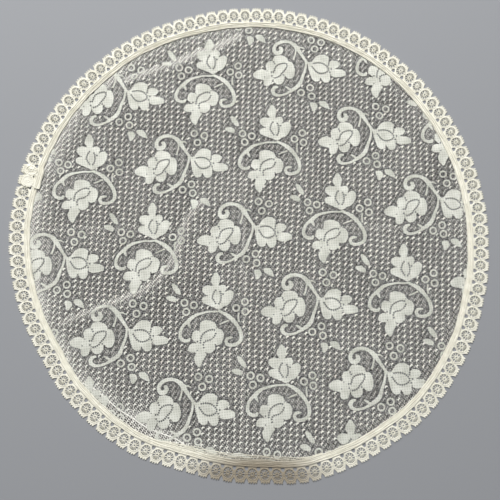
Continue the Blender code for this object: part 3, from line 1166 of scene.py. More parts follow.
@dataclass
class Cloth:
    """How the doily lies: its outline, its repeat, its pull and its folds, all in mm.

    Attributes:
        radius: The outermost circle, at the tips of the edging.
        drift: How far the outline stands outside that circle, every 15 degrees from +X.
        strip_depth: The edging's depth from its inner edge to its tips.
        rim_under: How far the panel reaches under the heading band.
        band_clear: How far inside the band the cloth starts to press flat for it.
        net_height: Where the net lies over the floor.
        row_a: One step of the sprays' repeat.
        row_b: The other step.
        spray_reach: How far outside the doily a spray is still set down.
        folds: Its folds: a pressed tuck, a pinched crease and the two faint lines it was folded on.
        pull_x: The waves that carry it along X.
        pull_y: The waves that carry it along Y.
        slack: The two waves whose product lifts it.
        hem_arc: Where its turned-in hem shows inside the band, in radians.
        hem_depth: How far in from the band that hem reaches.
        hem_closeness: How close its threads lie.
        pucker_reach: How far in from the band its seam draws the net's threads together, most on the left.
    """

    radius: float = 180.0
    drift: tuple[float, ...] = (
        -0.2, -0.3, -0.2, 0.5, 0.8, 0.2, -0.6, -1.4, -0.4, -0.9, -0.7, -0.5,
        -0.2, -1.1, -2.6, -0.5, 0.1, -2.5, -0.7, 3.8, 4.1, 5.1, 3.3, 0.9,
    )  # fmt: skip
    strip_depth: float = 16.5
    rim_under: float = 3.6
    band_clear: float = 0.6
    net_height: float = 0.85
    row_a: Point = (48.5, -53.2)
    row_b: Point = (91.2, 75.4)
    spray_reach: float = 40.0
    folds: tuple[Fold, ...] = (
        Fold(
            ((-8, 156), (-24.7, 147.5), (-41, 141.7), (-55.7, 134.4), (-76.5, 127.1), (-94.2, 120.6)),
            2.2, 0.75, 0.4, 0.5,
        ),
        Fold(
            (
                (-136.5, -66), (-100.2, -51.3), (-78.2, -41.7), (-63.6, -29.8), (-53.5, -11.9), (-46.3, 10.8),
                (-34.4, 26.1),
            ),
            2.2, 0.9, 0.15, 0.3,
        ),
        Fold(((-6, 160), (-4.5, 80), (-4, 0), (-3.2, -70), (-4.4, -155)), 1.0, 0.12, 0.2, 0.12),
        Fold(((-158, 3), (-80, 4.4), (0, 3.6), (75, 5.2), (160, 4)), 1.0, 0.12, 0.2, 0.12),
    )  # fmt: skip
    pull_x: tuple[Wave, ...] = (
        (0.55, 0.0, 1 / 31, 0.4),
        (0.3, 1 / 17, -1 / 23, 2.1),
        (0.1, 1 / 9, 1 / 4.3, 0.0),
    )
    pull_y: tuple[Wave, ...] = (
        (0.5, 1 / 37, 0.0, 1.3),
        (0.3, 1 / 21, 1 / 19, 0.0),
        (0.1, 1 / 4.7, -1 / 8, 0.0),
    )
    slack: tuple[Wave, Wave] = (
        (0.08, 1 / 11, 1 / 17, 0.0),
        (1.0, -1 / 29, 1 / 13, 0.0),
    )
    hem_arc: tuple[float, float] = (radians(222), radians(254))
    hem_depth: float = 4.9
    hem_closeness: float = 0.6
    pucker_reach: float = 6.0

    @property
    def band_radius(self) -> float:
        """The radius of the heading band's inner edge, before the outline's drift."""
        return self.radius - self.strip_depth

    @property
    def rim_radius(self) -> float:
        """The radius of the panel's cut edge, before the outline's drift."""
        return self.band_radius + self.rim_under

    def outline_drift(self, angles: Array) -> Array:
        """How far the outline stands outside its circle at each angle, eased between the rows of the table.

        Args:
            angles: The angles in radians.

        Returns:
            The drift at each, in mm.
        """
        drifts = np.array(self.drift)
        step = tau / len(drifts)
        row = (angles % tau // step).astype(int) % len(drifts)
        ease = (1 - np.cos(((angles % tau) / step - row) * pi)) / 2
        return drifts[row] + (drifts[(row + 1) % len(drifts)] - drifts[row]) * ease

    def rim(self, angles: Array) -> Array:
        """The radius of the panel's cut edge at each angle."""
        return self.rim_radius + self.outline_drift(angles)

    def band(self, angles: Array) -> Array:
        """The radius of the heading band's inner edge at each angle."""
        return self.band_radius + self.outline_drift(angles)

    def hem_line(self, angles: Array) -> Array:
        """The radius of the hem's inner edge at each angle, which is the band's own where there is no hem.

        Args:
            angles: The angles in radians.

        Returns:
            The radius at each, in mm.
        """
        start, end = self.hem_arc
        share = np.clip(np.minimum(angles % tau - start, end - angles % tau) / radians(5), 0, 1)
        uneven = 1 + waves(((0.09, 17, 0, 0), (0.06, 41, 0, 1)), angles)
        return self.band(angles) - self.hem_depth * np.sin(share * pi / 2) * uneven

    def pulled(self, points: Array) -> Array:
        """Where the cloth's pull has carried each point.

        Args:
            points: Rows of x and y in mm, before the cloth was pulled.

        Returns:
            The same points, moved by up to about a millimetre.
        """
        x, y = points[:, 0], points[:, 1]
        moved = np.stack([x + waves(self.pull_x, x, y), y + waves(self.pull_y, x, y)], 1)
        for fold in self.folds:
            moved = fold.gathered(moved)
        return moved

    def rise(self, points: Array) -> Array:
        """How far the folds and the cloth's slackness lift it.

        Args:
            points: Rows of x and y in mm.

        Returns:
            The rise at each point.
        """
        x, y = points[:, 0], points[:, 1]
        first, second = (waves([wave], x, y) for wave in self.slack)
        return np.max([fold.rise(points) for fold in self.folds], axis=0) + first * second

    def gathering(self, points: Array) -> Array:
        """How close the net's threads lie, on the folds, beside the band and in the hem.

        Args:
            points: Rows of x and y in mm.

        Returns:
            A share for each, from 0 where they lie as they were made.
        """
        folded = np.max([fold.closeness(points) for fold in self.folds], axis=0)
        angles, radii = polar(points)
        depth = self.hem_line(angles) - radii
        uneven = 0.8 + 0.2 * np.sin(19 * angles) * np.sin(7 * angles + 1)
        leftward = np.clip(0.5 - 0.8 * np.cos(angles - radians(10)), 0.25, 1)
        puckered = np.exp(-np.clip(depth, 0, None) / self.pucker_reach) * uneven * leftward * 1.2
        return np.where(depth < 0, self.hem_closeness, np.clip(np.maximum(folded, puckered), 0, 1))

    def laid(self, stamp: Stamp) -> tuple[Stamp, Array]:
        """Lays a flat shape of the panel as the cloth lies, and ends it at the panel's cut edge.

        Args:
            stamp: The shape, with z as its height over the net's own level.

        Returns:
            The laid shape, and the flat place of each of its points.
        """
        places = self.pulled(stamp.points[:, :2])
        angles, radii = polar(places)
        rim = self.rim(angles)
        # Faces wholly past the cut edge go, and the others' corners are drawn back to it.
        inner = ~(radii > rim)[stamp.faces].all(1)
        places = places * np.minimum(1, rim / np.maximum(radii, TINY))[:, None]
        room = np.clip((self.band(angles) - self.band_clear - radii) / self.band_clear, 0, 1)
        z = self.net_height + (stamp.points[:, 2] + self.rise(places)) * room
        laid = Stamp(np.column_stack([places, z]), stamp.faces)
        return laid.keep(inner), stamp.points[np.unique(stamp.faces[inner])]

    def places(self, origin: Point) -> Array:
        """Every place of a spray that touches the panel.

        Args:
            origin: The spray's place in the repeat.

        Returns:
            Rows of x and y.
        """
        a, b = np.array(self.row_a), np.array(self.row_b)
        found = [np.array(origin) + i * a + j * b for i in range(-5, 6) for j in range(-4, 5)]
        return np.array([place for place in found if np.hypot(*place) < self.radius + self.spray_reach])


# Pieces


def make_piece(
    name: str,
    stamp: Stamp,
    flat: Array,
    material: bpy.types.Material,
    sharp: float | None = 50.0,
    painted_shade_spread: Array | None = None,
) -> bpy.types.Object:
    """Makes a scene object that rides on the doily's body.

    Args:
        name: The piece's name.
        stamp: Its shape in mm.
        flat: The flat place of each of its points in mm, which its material's pattern follows.
        material: Its material.
        sharp: The angle in degrees past which an edge stays sharp, or None for an even surface.
        painted_shade_spread: How far the painted shade round the net's holes spreads at each point, -1 to 1.

    Returns:
        The object, at the origin.
    """
    mesh = bpy.data.meshes.new(name)
    mesh.from_pydata((stamp.points * MM).tolist(), [], stamp.faces.tolist())
    corners = np.empty(len(mesh.loops), int)
    mesh.loops.foreach_get("vertex_index", corners)
    layer = mesh.uv_layers.new(name=FLAT_MAP)
    layer.data.foreach_set("uv", (flat[corners, :2] * MM).astype(np.float32).ravel())
    if painted_shade_spread is not None:
        marks = mesh.attributes.new(PAINTED_SHADE_SPREAD, "FLOAT", "POINT")
        marks.data.foreach_set("value", painted_shade_spread.astype(np.float32))
    mesh.shade_smooth()
    if sharp is not None:
        mesh.set_sharp_from_angle(angle=radians(sharp))
    mesh.materials.append(material)
    piece = bpy.data.objects.new(name, mesh)
    bpy.context.scene.collection.objects.link(piece)
    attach(piece, BODY)
    log.info("%s: %d triangles", name, len(mesh.polygons))
    return piece


class Opening(Enum):
    """How one hole of the net is: closed where nothing shows it, wide beside cloth-work, or at a spot."""

    CLOSED = 0
    FINE = 1
    WIDE = 2
    EYE = 3


@dataclass
class SprayField:
    """Distances to one spray's shapes on a fine grid round it, worked out from the chart.

    Attributes:
        chart: The spray.
        step: The grid's spacing in mm.
        margin: How far the grid reaches past the spray.
        ring_middle: Radius of a ring's middle line.
        ring_half: Half the ring's width.
        ring_quiet: How far from a ring's centre the net has no spots.
        low: The grid's first corner.
        shape: How many points it has along X and Y.
        cloth: The distance to the cloth-work at each.
        seam: The distance to a seam.
        hushed: Whether the net has no spots there.
    """

    chart: SprayChart
    step: float = 0.35
    margin: float = 5.0
    ring_middle: float = 2.4
    ring_half: float = 0.7
    ring_quiet: float = 3.2
    low: Array = field(init=False)
    shape: tuple[int, int] = field(init=False)
    cloth: Array = field(init=False)
    seam: Array = field(init=False)
    hushed: Array = field(init=False)

    def __post_init__(self) -> None:
        """Fills the grid."""
        loops = [notched(loop) for loop in (*self.chart.flowers, *self.chart.leaves)]
        rings = np.array(self.chart.rings)
        strips = [stem.drawn() for stem in self.chart.stems]
        everything = np.vstack([*loops, *(line for line, _ in strips), rings])
        self.low = everything.min(0) - self.margin
        high = everything.max(0) + self.margin
        self.shape = tuple(np.ceil((high - self.low) / self.step).astype(int) + 1)
        xs, ys = (self.low[k] + np.arange(self.shape[k]) * self.step for k in (0, 1))
        grid = np.stack(np.meshgrid(xs, ys, indexing="ij"), -1).reshape(-1, 2)
        cloth = np.min([signed_distance(grid, loop) for loop in loops], axis=0)
        for line, widths in strips:
            for a, b, width in zip(line, line[1:], widths):
                cloth = np.minimum(cloth, distance_to_lines(grid, a[None], b[None]) - width / 2)
        from_rings = np.min([np.hypot(*(grid - ring).T) for ring in rings], axis=0)
        cloth = np.minimum(cloth, abs(from_rings - self.ring_middle) - self.ring_half)
        seams = np.hypot(*(grid - np.array(self.chart.pinhole)).T)
        for seam in self.chart.seams:
            seams = np.minimum(seams, distance_to_path(grid, seam))
        quiet = np.any([inside_loop(grid, np.array(loop, float)) for loop in self.chart.quiet], axis=0)
        self.cloth = cloth.reshape(self.shape)
        self.seam = seams.reshape(self.shape)
        self.hushed = (quiet | (from_rings < self.ring_quiet)).reshape(self.shape)

    def sample(self, points: Array) -> tuple[Array, Array, Array, Array]:
        """Reads the grid at points given from the spray's origin.

        Args:
            points: Rows of x and y in mm.

        Returns:
            Which points the grid covers, and for those the distance to the cloth-work, the distance to a
            seam, and whether the net is plain there.
        """
        index = np.round((points - self.low) / self.step).astype(int)
        covered = (index >= 0).all(1) & (index < self.shape).all(1)
        i, j = index[covered].T
        return covered, self.cloth[i, j], self.seam[i, j], self.hushed[i, j]


@dataclass
class LaceGround:
    """The net between the sprays and the raised spots on it.

    The net's repeat is a slanting cell of eight holes. One of them lies at the cell's corners, and is closed
    where a spot covers it.

    Attributes:
        cloth: How the doily lies.
        fields: The field of each spray.
        spot_finish: The spots' finish.
        along: One step from spot to spot, in mm.
        down: The other step.
        first: The hole that a spot curves round, from the cell's own place.
        rows_out: How many cells are tried to either side of the middle.
        cell_reach: How far outside the panel's edge they may lie.
        radii: Radius of a hole of each kind.
        hole_turn: How far the four-sided holes are turned, in radians.
        corner_share: How much smaller the hole at the cell's corners is.
        spot_radius: Radius of a spot's arc round its hole.
        spot_arc: Where the arc starts and ends, in degrees.
        spot_width: Width of a spot at its middle.
        spot_rise: Height of a spot over the net.
        spot_shapes: Each shape of spot, as its share of that width and its turn in degrees.
        spot_inset: How far inside the band the last spots lie.
        eye_shade_spread: How far the painted shade spreads round a spot's hole, a painted shadow beside it.
        middle_shade_spread: The same for the hole in a cell's middle.
        shade_spread_reach: How far from the hole's middle it is.
        keep_clear: How far spots stay from cloth-work.
        edge_reach: How far from cloth-work the wide holes lie.
        beside_shade_reach: How far from it the painted shade round the holes spreads wider.
        hole_reach: How far to each side of its middle a hole has to be covered to be closed.
        cover: How far under cloth-work that is.
        band_cover: The same for the heading band.
        seam_reach: How far from a seam the net's holes stay open under a flower.
        seam_clear: How far from a seam the net is cut away under it.
        edge_keep: How far under a shape's edge it is left even so.
    """

    cloth: Cloth
    fields: dict[Spray, SprayField]
    spot_finish: WovenCotton
    along: Point = (4.52, -0.383)
    down: Point = (-0.19, -4.08)
    first: Point = (0.75, -0.87)
    rows_out: int = 47
    cell_reach: float = 9.0
    radii: dict[Opening, float] = field(
        default_factory=lambda: {Opening.FINE: 0.53, Opening.WIDE: 0.64, Opening.EYE: 0.5}
    )
    hole_turn: float = pi / 4 - 0.07
    corner_share: float = 0.95
    spot_radius: float = 1.0
    spot_arc: tuple[float, float] = (45.0, 232.0)
    spot_width: float = 1.12
    spot_rise: float = 0.34
    spot_shapes: tuple[Point, ...] = ((1.12, 0.0), (0.95, 14.0), (1.05, -12.0), (0.8, 5.0))
    spot_inset: float = 1.5
    eye_shade_spread: float = 3.6
    middle_shade_spread: float = 2.7
    shade_spread_reach: float = 0.85
    keep_clear: float = 1.2
    edge_reach: float = 1.5
    beside_shade_reach: float = 1.8
    hole_reach: float = 0.4
    cover: float = 0.1
    band_cover: float = 0.8
    seam_reach: float = 1.1
    seam_clear: float = 0.7
    edge_keep: float = 0.5

    @property
    def repeat(self) -> Array:
        """The two steps from cell to cell, as rows."""
        return np.array([self.along, self.down])

    @property
    def start(self) -> Array:
        """The first hole, from its cell's place."""
        return np.array(self.first)

    def steps(self) -> tuple[Array, Array]:
        """The two steps from hole to hole."""
        along, down = self.repeat
        return (along + down) / 4, (along - 3 * down) / 8

    def finish(self) -> CottonNet:
        """The net's finish, with its shading round the same holes."""
        step_a, step_b = (tuple(step.tolist()) for step in self.steps())
        return CottonNet(step_a=step_a, step_b=step_b, hole=self.first)

    def cells(self) -> Array:
        """Finds every cell that touches the panel.

        Returns:
            Their places.
        """
        along, down = self.repeat
        numbers = np.arange(-self.rows_out, self.rows_out)
        index = np.stack(np.meshgrid(numbers, numbers), -1).reshape(-1, 2)
        places = index[:, :1] * along + index[:, 1:] * down
        return places[np.hypot(*places.T) < self.cloth.rim_radius + self.cell_reach]

    def cell_outline(self) -> Array:
        """Finds the corners of a cell.

        Returns:
            The four corners, from the cell's place.
        """
        along, down = self.repeat
        corner = self.start - self.steps()[0]
        return np.array([corner, corner + down, corner + along + down, corner + along])

    def hole_centres(self) -> Array:
        """Finds the middles of a cell's seven inner holes.

        Returns:
            The middles, from the cell's place.
        """
        a, b = self.steps()
        along, down = self.repeat
        return self.start + np.array([0 * a, a, 2 * a, b + down, a + b, 2 * a + b, 3 * a + b - along])

    def cell(self, inner: tuple[int, ...], corners: tuple[int, ...]) -> Stamp:
        """One cell of net.

        Args:
            inner: How each inner hole is, as the value of its Opening.
            corners: The same for its share of the hole at each corner.

        Returns:
            The cell as one flat plate.
        """
        outline = self.cell_outline()
        line = []
        for k, kind in enumerate(corners):
            if kind:
                reach = self.radii[Opening(kind)] * self.corner_share
                for end in (outline[k - 1], outline[(k + 1) % 4]):
                    line.append(outline[k] + (end - outline[k]) * reach / np.hypot(*(end - outline[k])))
            else:
                line.append(outline[k])
        holes = [
            circle(tuple(centre), self.radii[Opening(kind)], 4, self.hole_turn)
            for centre, kind in zip(self.hole_centres(), inner)
            if kind
        ]
        return Stamp.of(pierced_plate(np.array(line), holes))

    def spot(self, width_share: float, turn: float) -> Stamp:
        """A raised crescent round the upper left side of its cell's first hole.

        Args:
            width_share: How wide it is, as a share of the usual width.
            turn: How far it is turned from the usual, in degrees.

        Returns:
            The spot, at its cell's place.
        """
        swell = np.array([0.3, 0.8, 1.0, 1.0, 0.8, 0.3])
        angles = np.radians(np.linspace(*self.spot_arc, len(swell)) + turn)
        line = self.start + self.spot_radius * np.stack([np.cos(angles), np.sin(angles)], 1)
        widths = self.spot_width * width_share * swell
        return raised_strip(line, widths, 0.02, self.spot_rise * 0.6, crown=self.spot_rise * 0.4)

    def survey(self, points: Array) -> tuple[Array, Array, Array]:
        """Reads the sprays' fields at flat points of the panel.

        Args:
            points: Rows of x and y in mm.

        Returns:
            The distance to the nearest cloth-work, that to the nearest seam, and whether the net is plain.
        """
        cloth, seam = np.full((2, len(points)), FAR)
        quiet = np.zeros(len(points), bool)
        for spray, near in self.fields.items():
            for place in self.cloth.places(spray.value.origin):
                covered, to_cloth, to_seam, hushed = near.sample(points - place)
                cloth[covered] = np.minimum(cloth[covered], to_cloth)
                seam[covered] = np.minimum(seam[covered], to_seam)
                quiet[covered] |= hushed
        return cloth, seam, quiet

    def openings(self, places: Array) -> Array:
        """How the hole at each place is.

        Args:
            places: Rows of x and y in mm.

        Returns:
            The value of each hole's Opening.
        """
        sides = np.array([(0, 0), (1, 0), (-1, 0), (0, 1), (0, -1)]) * self.hole_reach
        read = [self.survey(places + off) for off in sides]
        nearest, seam = read[0][0], read[0][1]
        hidden = (np.max([cloth for cloth, _, _ in read], axis=0) < -self.cover) & (seam > self.seam_reach)
        angles, radii = polar(places)
        hidden |= radii > self.cloth.band(angles) + self.band_cover
        kinds = np.where(nearest < self.edge_reach, Opening.WIDE.value, Opening.FINE.value)
        return np.where(hidden, Opening.CLOSED.value, kinds)

    def drawn(self, points: Array, spotted: Array) -> Array:
        """How far the net's painted shade spreads round its holes, most round those that the spots curve
        round.

        Args:
            points: Rows of x and y in mm, on the flat net.
            spotted: The places of the cells that have a spot.

        Returns:
            The mark of each point.
        """
        # Gives each cell one number of its own.
        numbering = (1000, 1)
        to_cells = np.linalg.inv(self.repeat)
        count = (points - self.start) @ to_cells
        marks = np.zeros(len(points))
        # Painted shade at each cell's middle hole, and a painted shadow round each spot's hole.
        for start, widening in ((0.5, self.middle_shade_spread), (0.0, self.eye_shade_spread)):
            whole = np.round(count - start)
            near = np.hypot(*((count - start - whole) @ self.repeat).T) < self.shade_spread_reach
            if widening == self.eye_shade_spread:
                near &= np.isin(whole @ numbering, np.round(spotted @ to_cells) @ numbering)
            marks[near] = widening
        return marks

    def net(self, places: Array, spotted: Array) -> bpy.types.Object:
        """Builds the net.

        Args:
            places: The place of each cell.
            spotted: Whether each has a spot.

        Returns:
            The piece.
        """
        inner = np.column_stack([self.openings(places + centre) for centre in self.hole_centres()])
        corners = np.column_stack([self.openings(places + corner) for corner in self.cell_outline()])
        corners[spotted] = Opening.CLOSED.value
        inner[spotted, 0] = Opening.EYE.value
        # Cells whose holes are all alike share one stamp.
        kinds, which = np.unique(np.column_stack([inner, corners]), axis=0, return_inverse=True)
        log.info("%d spotted cells of %d, %d kinds", spotted.sum(), len(places), len(kinds))
        sheets = []
        for k, kind in enumerate(kinds):
            cell = self.cell(tuple(kind[:7]), tuple(kind[7:]))
            sheets.append(cell.set_down(places[which.reshape(-1) == k]))
        sheet = Stamp.joined(sheets).welded()
        to_cloth, to_seam, _ = self.survey(sheet.points[sheet.faces].mean(1)[:, :2])
        net, flat = self.cloth.laid(sheet.keep((to_seam > self.seam_clear) | (to_cloth > -self.edge_keep)))
        beside = np.clip(1 - self.survey(flat[:, :2])[0] / self.beside_shade_reach, 0, 1)
        gathering = self.cloth.gathering(net.points[:, :2])
        # The painted shade round the holes spreads wider beside cloth-work and round the spots' holes, less
        # where threads lie close.
        wider_shade = np.maximum(beside, self.drawn(flat[:, :2], places[spotted]))
        painted_shade_spread = wider_shade * (1 - gathering) - gathering
        net_piece = make_piece("lace_net", net, flat, self.finish().material(), None, painted_shade_spread)
        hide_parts("lace_panel")
        return net_piece

    def spots(self, places: Array) -> bpy.types.Object:
        """Builds the raised spots.

        Args:
            places: The place of each cell that has one.

        Returns:
            The piece.
        """
        shown = places[np.hypot(*places.T) < self.cloth.band_radius - self.spot_inset]
        chosen = scattered(shown, len(self.spot_shapes))
        sets = [self.spot(*shape).set_down(shown[chosen == k]) for k, shape in enumerate(self.spot_shapes)]
        spots, flat = self.cloth.laid(Stamp.joined(sets))
        return make_piece("lace_spots", spots, flat, self.spot_finish.material(), 70)

    def build(self) -> tuple[bpy.types.Object, bpy.types.Object]:
        """Builds the net and its spots.

        Returns:
            The net and the spots.
        """
        places = self.cells()
        to_cloth, _, quiet = self.survey(places + self.start)
        spotted = (to_cloth > self.keep_clear) & ~quiet
        return self.net(places, spotted), self.spots(places[spotted])


@dataclass
class ClothWork:
    """The dense woven shapes of the sprays: flowers with their seams, loose leaves, stems and rings.

    Attributes:
        cloth: How the doily lies.
        finish: The shapes' finish.
        flower_base: Where a flower's underside lies over the net.
        flower_rise: How far its edge stands over that.
        stem_base: Where a stem's or ring's underside lies.
        stem_rise: How far its shoulders stand over that.
        stem_crown: How much higher its middle is.
        stem_waver: How unevenly wide it is.
        ring_radii: Inner and outer radius of a ring.
        ring_sides: How many corners a ring has.
        slit_spacing: Distance from hole to hole along a seam.
        slit: Length and width of a seam's hole.
        slit_apart: How near two seams' holes may come.
        slit_small: How much smaller one is made where it comes too near the flower's edge.
        slit_margin: How far from that edge it stays.
        pinhole: Radius of the small hole between two leaves.
    """

    cloth: Cloth
    finish: WovenCotton
    flower_base: float = 0.02
    flower_rise: float = 0.28
    stem_base: float = 0.03
    stem_rise: float = 0.24
    stem_crown: float = 0.05
    stem_waver: float = 0.13
    ring_radii: tuple[float, float] = (1.75, 3.1)
    ring_sides: int = 9
    slit_spacing: float = 1.6
    slit: tuple[float, float] = (1.25, 1.4)
    slit_apart: float = 1.5
    slit_small: float = 0.65
    slit_margin: float = 0.2
    pinhole: float = 0.55

    def flowers(self, chart: SprayChart) -> Stamp:
        """The rose, the bud and the loose leaves of one spray.

        Args:
            chart: The spray.

        Returns:
            Them all as one shape.
        """
        holes = [circle(chart.pinhole, self.pinhole, 6)]
        for seam in chart.seams:
            for hole in slits(seam, self.slit_spacing, self.slit):
                if min(np.hypot(*(hole.mean(0) - other.mean(0))) for other in holes) > self.slit_apart:
                    holes.append(hole)
        made = []
        for loop in (*chart.flowers, *chart.leaves):
            outline = notched(loop)
            inner = []
            for hole in holes:
                small = hole.mean(0) + (hole - hole.mean(0)) * self.slit_small
                clear = [s for s in (hole, small) if signed_distance(s, outline).max() < -self.slit_margin]
                inner += clear[:1]
            made.append(raised_patch(stepped(outline), self.flower_base, self.flower_rise, inner))
        return Stamp.joined(made)

    def stems(self, chart: SprayChart) -> Stamp:
        """The scrolls, tendrils and rings of one spray.

        Args:
            chart: The spray.

        Returns:
            Them all as one shape.
        """
        levels = (self.stem_base, self.stem_rise)
        made = []
        for stem in chart.stems:
            line, widths = stem.drawn()
            widths = widths * (1 + self.stem_waver * np.sin(2.3 * np.arange(len(line))))
            made.append(raised_strip(line, widths, *levels, crown=self.stem_crown, shoulder=0.9))
        inner, outer = self.ring_radii
        for ring in chart.rings:
            line = circle(ring, (inner + outer) / 2, self.ring_sides, 0.2)
            made.append(raised_strip(line, outer - inner, *levels, True, self.stem_crown, 0.85))
        return Stamp.joined(made)

    def build(self) -> list[bpy.types.Object]:
        """Builds each kind of shape for all the sprays together.

        Returns:
            The pieces.
        """
        material = self.finish.material()
        pieces = []
        for name, maker in (("lace_flowers", self.flowers), ("lace_scrolls", self.stems)):
            stamps = [maker(spray.value).set_down(self.cloth.places(spray.value.origin)) for spray in Spray]
            laid, flat = self.cloth.laid(Stamp.joined(stamps))
            pieces.append(make_piece(name, laid, flat, material, 16))
        return pieces


@dataclass
class Hem:
    """The stretch of the panel's own turned-in edge that shows inside the heading band.

    Attributes:
        cloth: How the doily lies.
        net: The material of the turned-in layer.
        fold: The material of its folded edge.
        width: The folded edge's width.
        under: How far below the net the turned-in layer lies.
        tucked: How far it reaches under the band.
        steps: How many stretches it has along the band.
    """

    cloth: Cloth
    net: bpy.types.Material
    fold: bpy.types.Material
    width: float = 0.95
    under: float = 0.25
    tucked: float = 1.5
    steps: int = 120

    def build(self) -> list[bpy.types.Object]:
        """Builds the folded edge and the turned-in layer.

        Returns:
            The pieces.
        """
        angles = np.linspace(*self.cloth.hem_arc, self.steps + 1)
        way = np.column_stack([np.cos(angles), np.sin(angles)])
        inner, outer = self.cloth.hem_line(angles), self.cloth.band(angles) + self.tucked
        base, rise, crown = 0.02, 0.2, 0.08
        edge = raised_strip(way * inner[:, None], self.width, base, rise, crown=crown)
        rows = []
        for share in (0, 0.5, 1):
            places = way * (inner * (1 - share) + outer * share)[:, None]
            rows.append(np.column_stack([places, np.full(len(places), -self.under)]))
        pieces = []
        for name, stamp, material, sharp in (
            ("lace_hem_fold", edge, self.fold, 50),
            ("lace_hem_layer", Stamp.of(bridged(rows)), self.net, None),
        ):
            laid, flat = self.cloth.laid(stamp)
            # The hem's close threads draw the net's painted shade in.
            marks = np.full(len(laid.points), -self.cloth.hem_closeness)
            pieces.append(make_piece(name, laid, flat, material, sharp, marks))
        return pieces


@dataclass(frozen=True)
class BandCord:
    """One cord of the heading band: how far in its middle lies, its width and its height, in mm."""

    middle: float
    width: float
    height: float


